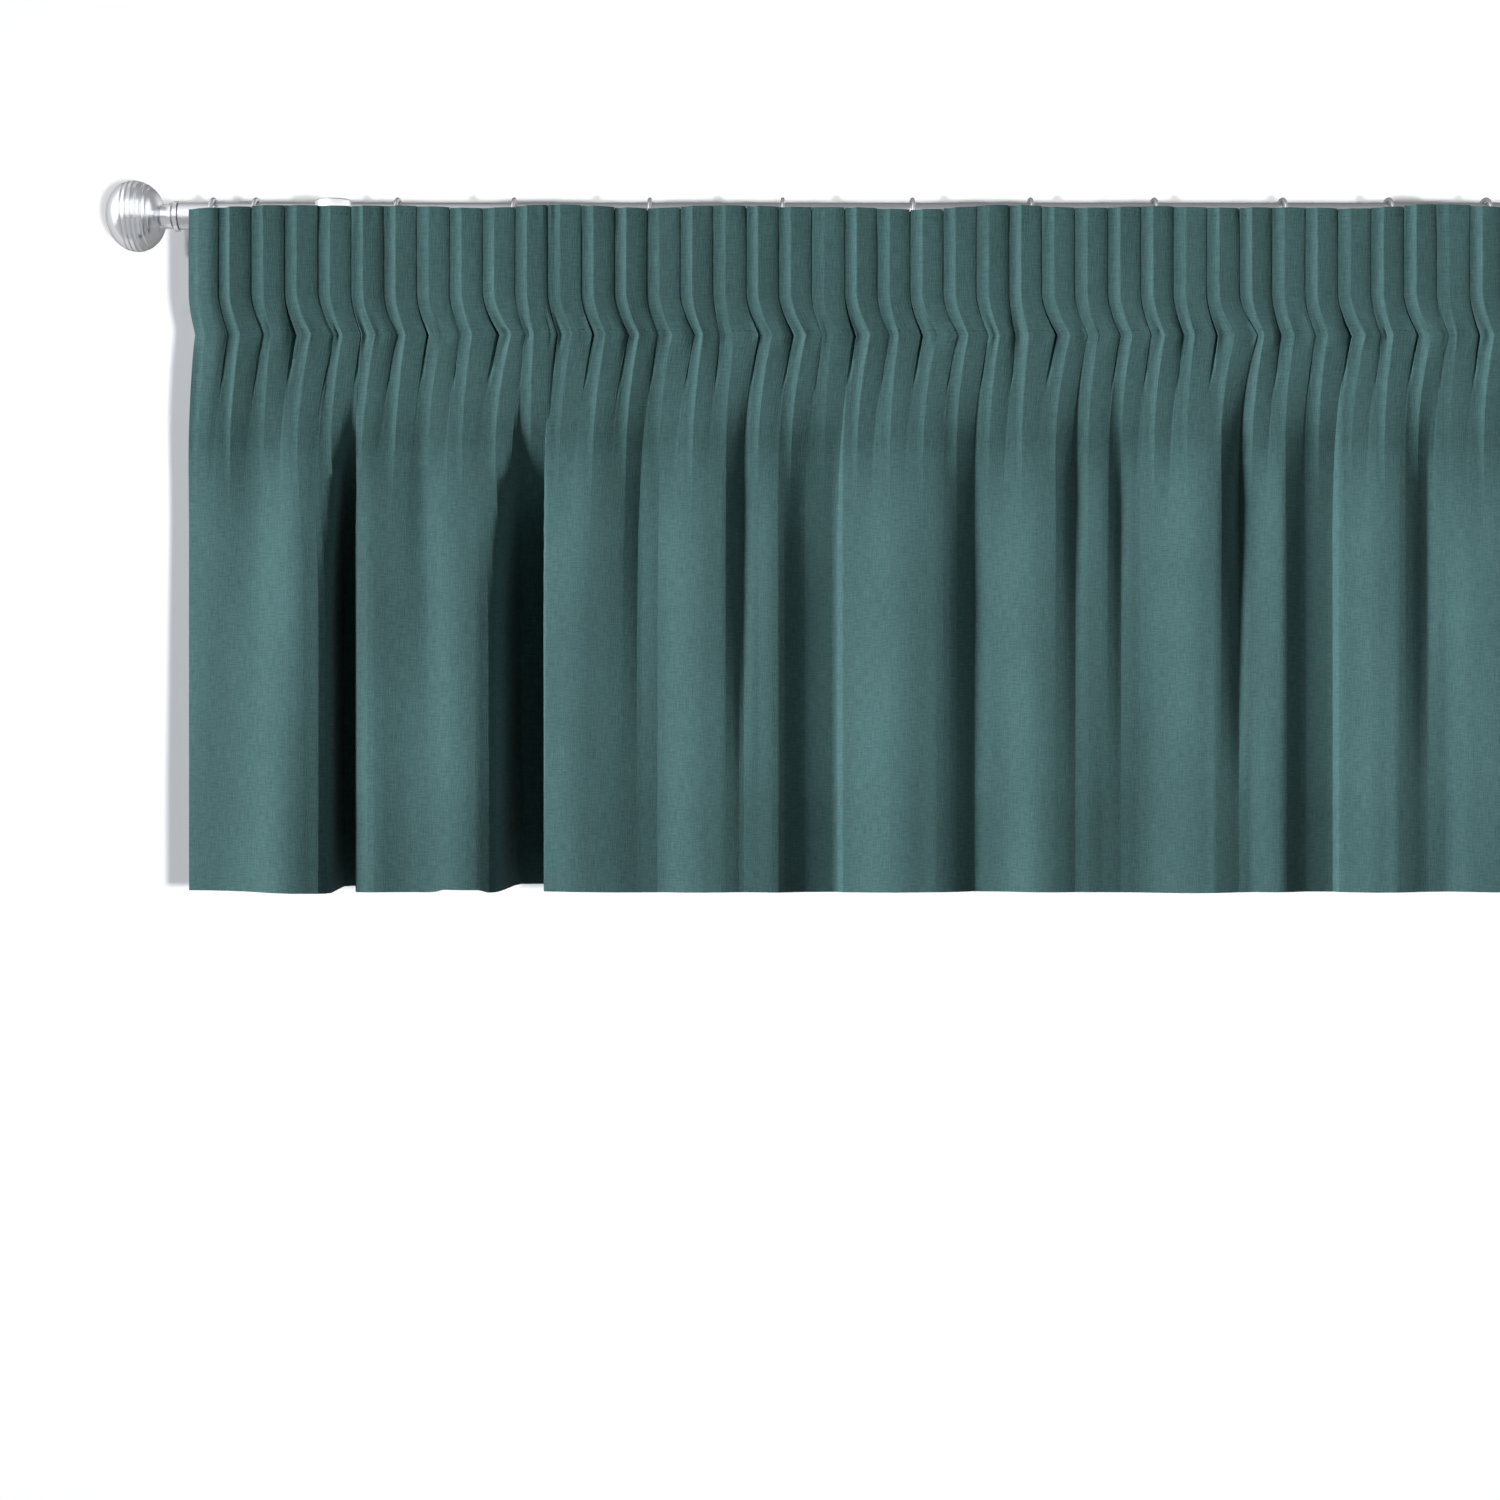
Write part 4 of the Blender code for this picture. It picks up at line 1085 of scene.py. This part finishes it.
# two lamps on the right, whose light falls on the wall only: the low one draws the metal's shadow there, and
# the near one the cloth's
lowWallLamp = sunLamp("lowWallLamp", (-0.0391, 0.115, 0.032), stage["lowWallStrength"], stage["wallSunAngle"])
lowWallLamp.data.color = stage["lowWallTint"]
nearWallLamp = nearLamp("nearWallLamp", (0.362, -1.359, -0.325), stage["nearWallStrength"])
# soft light from behind for the tape and hooks
backLamp = sunLamp("backLamp", (-0.45, -0.8, -0.35), stage["backStrength"], stage["backAngle"])

onWall = bpy.data.collections.new("onWall")
onWall.objects.link(roomWall)
offWall = bpy.data.collections.new("offWall")
offWall.objects.link(roomWall)
soft = bpy.data.collections.new("softPieces")
hard = bpy.data.collections.new("hardPieces")
for piece in bpy.context.scene.objects:
    isObject = piece.type == "MESH" and piece not in (roomWall, roomFloor)
    if isObject and not piece.name.startswith("curtain_cloth"):
        (soft if piece in (cloth, headingTape, *hems) else hard).objects.link(piece)
for lamp, blockers in ((lowWallLamp, hard), (nearWallLamp, soft)):
    lamp.light_linking.receiver_collection = onWall
    lamp.light_linking.blocker_collection = blockers
for lamp in (keyLamp, backLamp):
    lamp.light_linking.receiver_collection = offWall
for link in offWall.collection_objects:
    link.light_linking.link_state = "EXCLUDE"

# white for the camera; metal sees a pale studio with a dim front; a little light from all round
world = bpy.data.worlds.new("studio")
bpy.context.scene.world = world
world.use_nodes = True
tree = world.node_tree
tree.nodes.clear()
path = addNode(tree, "LightPath")
direction = addNode(tree, "SeparateXYZ", {"Vector": addNode(tree, "TexCoord").outputs["Generated"]})
height = addNode(tree, "MapRange", {"Value": direction.outputs["Z"], "From Min": -1, "From Max": 1})
studio = rampOf(tree, height.outputs["Result"], [
    (0.0, 0.85), (0.20, 0.75), (0.27, 0.05), (0.40, 0.05),
    (0.45, 1.0), (0.78, 1.0), (0.88, 0.34), (1.0, 0.30)])
# the dark low part is on the right only: on the left a pale screen reaches down to the floor
leftward = addNode(tree, "MapRange", {"Value": direction.outputs["X"], "From Min": -0.20, "From Max": -0.5})
screened = addNode(tree, "Mix", {
    "Factor": leftward.outputs["Result"], 6: studio.outputs["Color"], 7: (0.95, 0.97, 1.0, 1),
}, data_type="RGBA").outputs[2]
forGlossy = addNode(tree, "Background", {"Color": screened, "Strength": stage["mirroredStudio"]})
forCamera = addNode(tree, "Background", {"Color": (1, 1, 1, 1), "Strength": 1.0})
forRest = addNode(tree, "Background", {"Color": (1, 1, 1, 1), "Strength": stage["ambient"]})
glossy = addNode(tree, "MixShader", {
    0: path.outputs["Is Glossy Ray"], 1: forRest.outputs["Background"], 2: forGlossy.outputs["Background"],
})
straight = addNode(tree, "Math", {
    0: path.outputs["Is Camera Ray"], 1: path.outputs["Is Transmission Ray"],
}, operation="MAXIMUM")
final = addNode(tree, "MixShader", {
    0: straight.outputs["Value"], 1: glossy.outputs["Shader"], 2: forCamera.outputs["Background"],
})
tree.links.new(final.outputs["Shader"], addNode(tree, "OutputWorld").inputs["Surface"])
print("stage and light set")
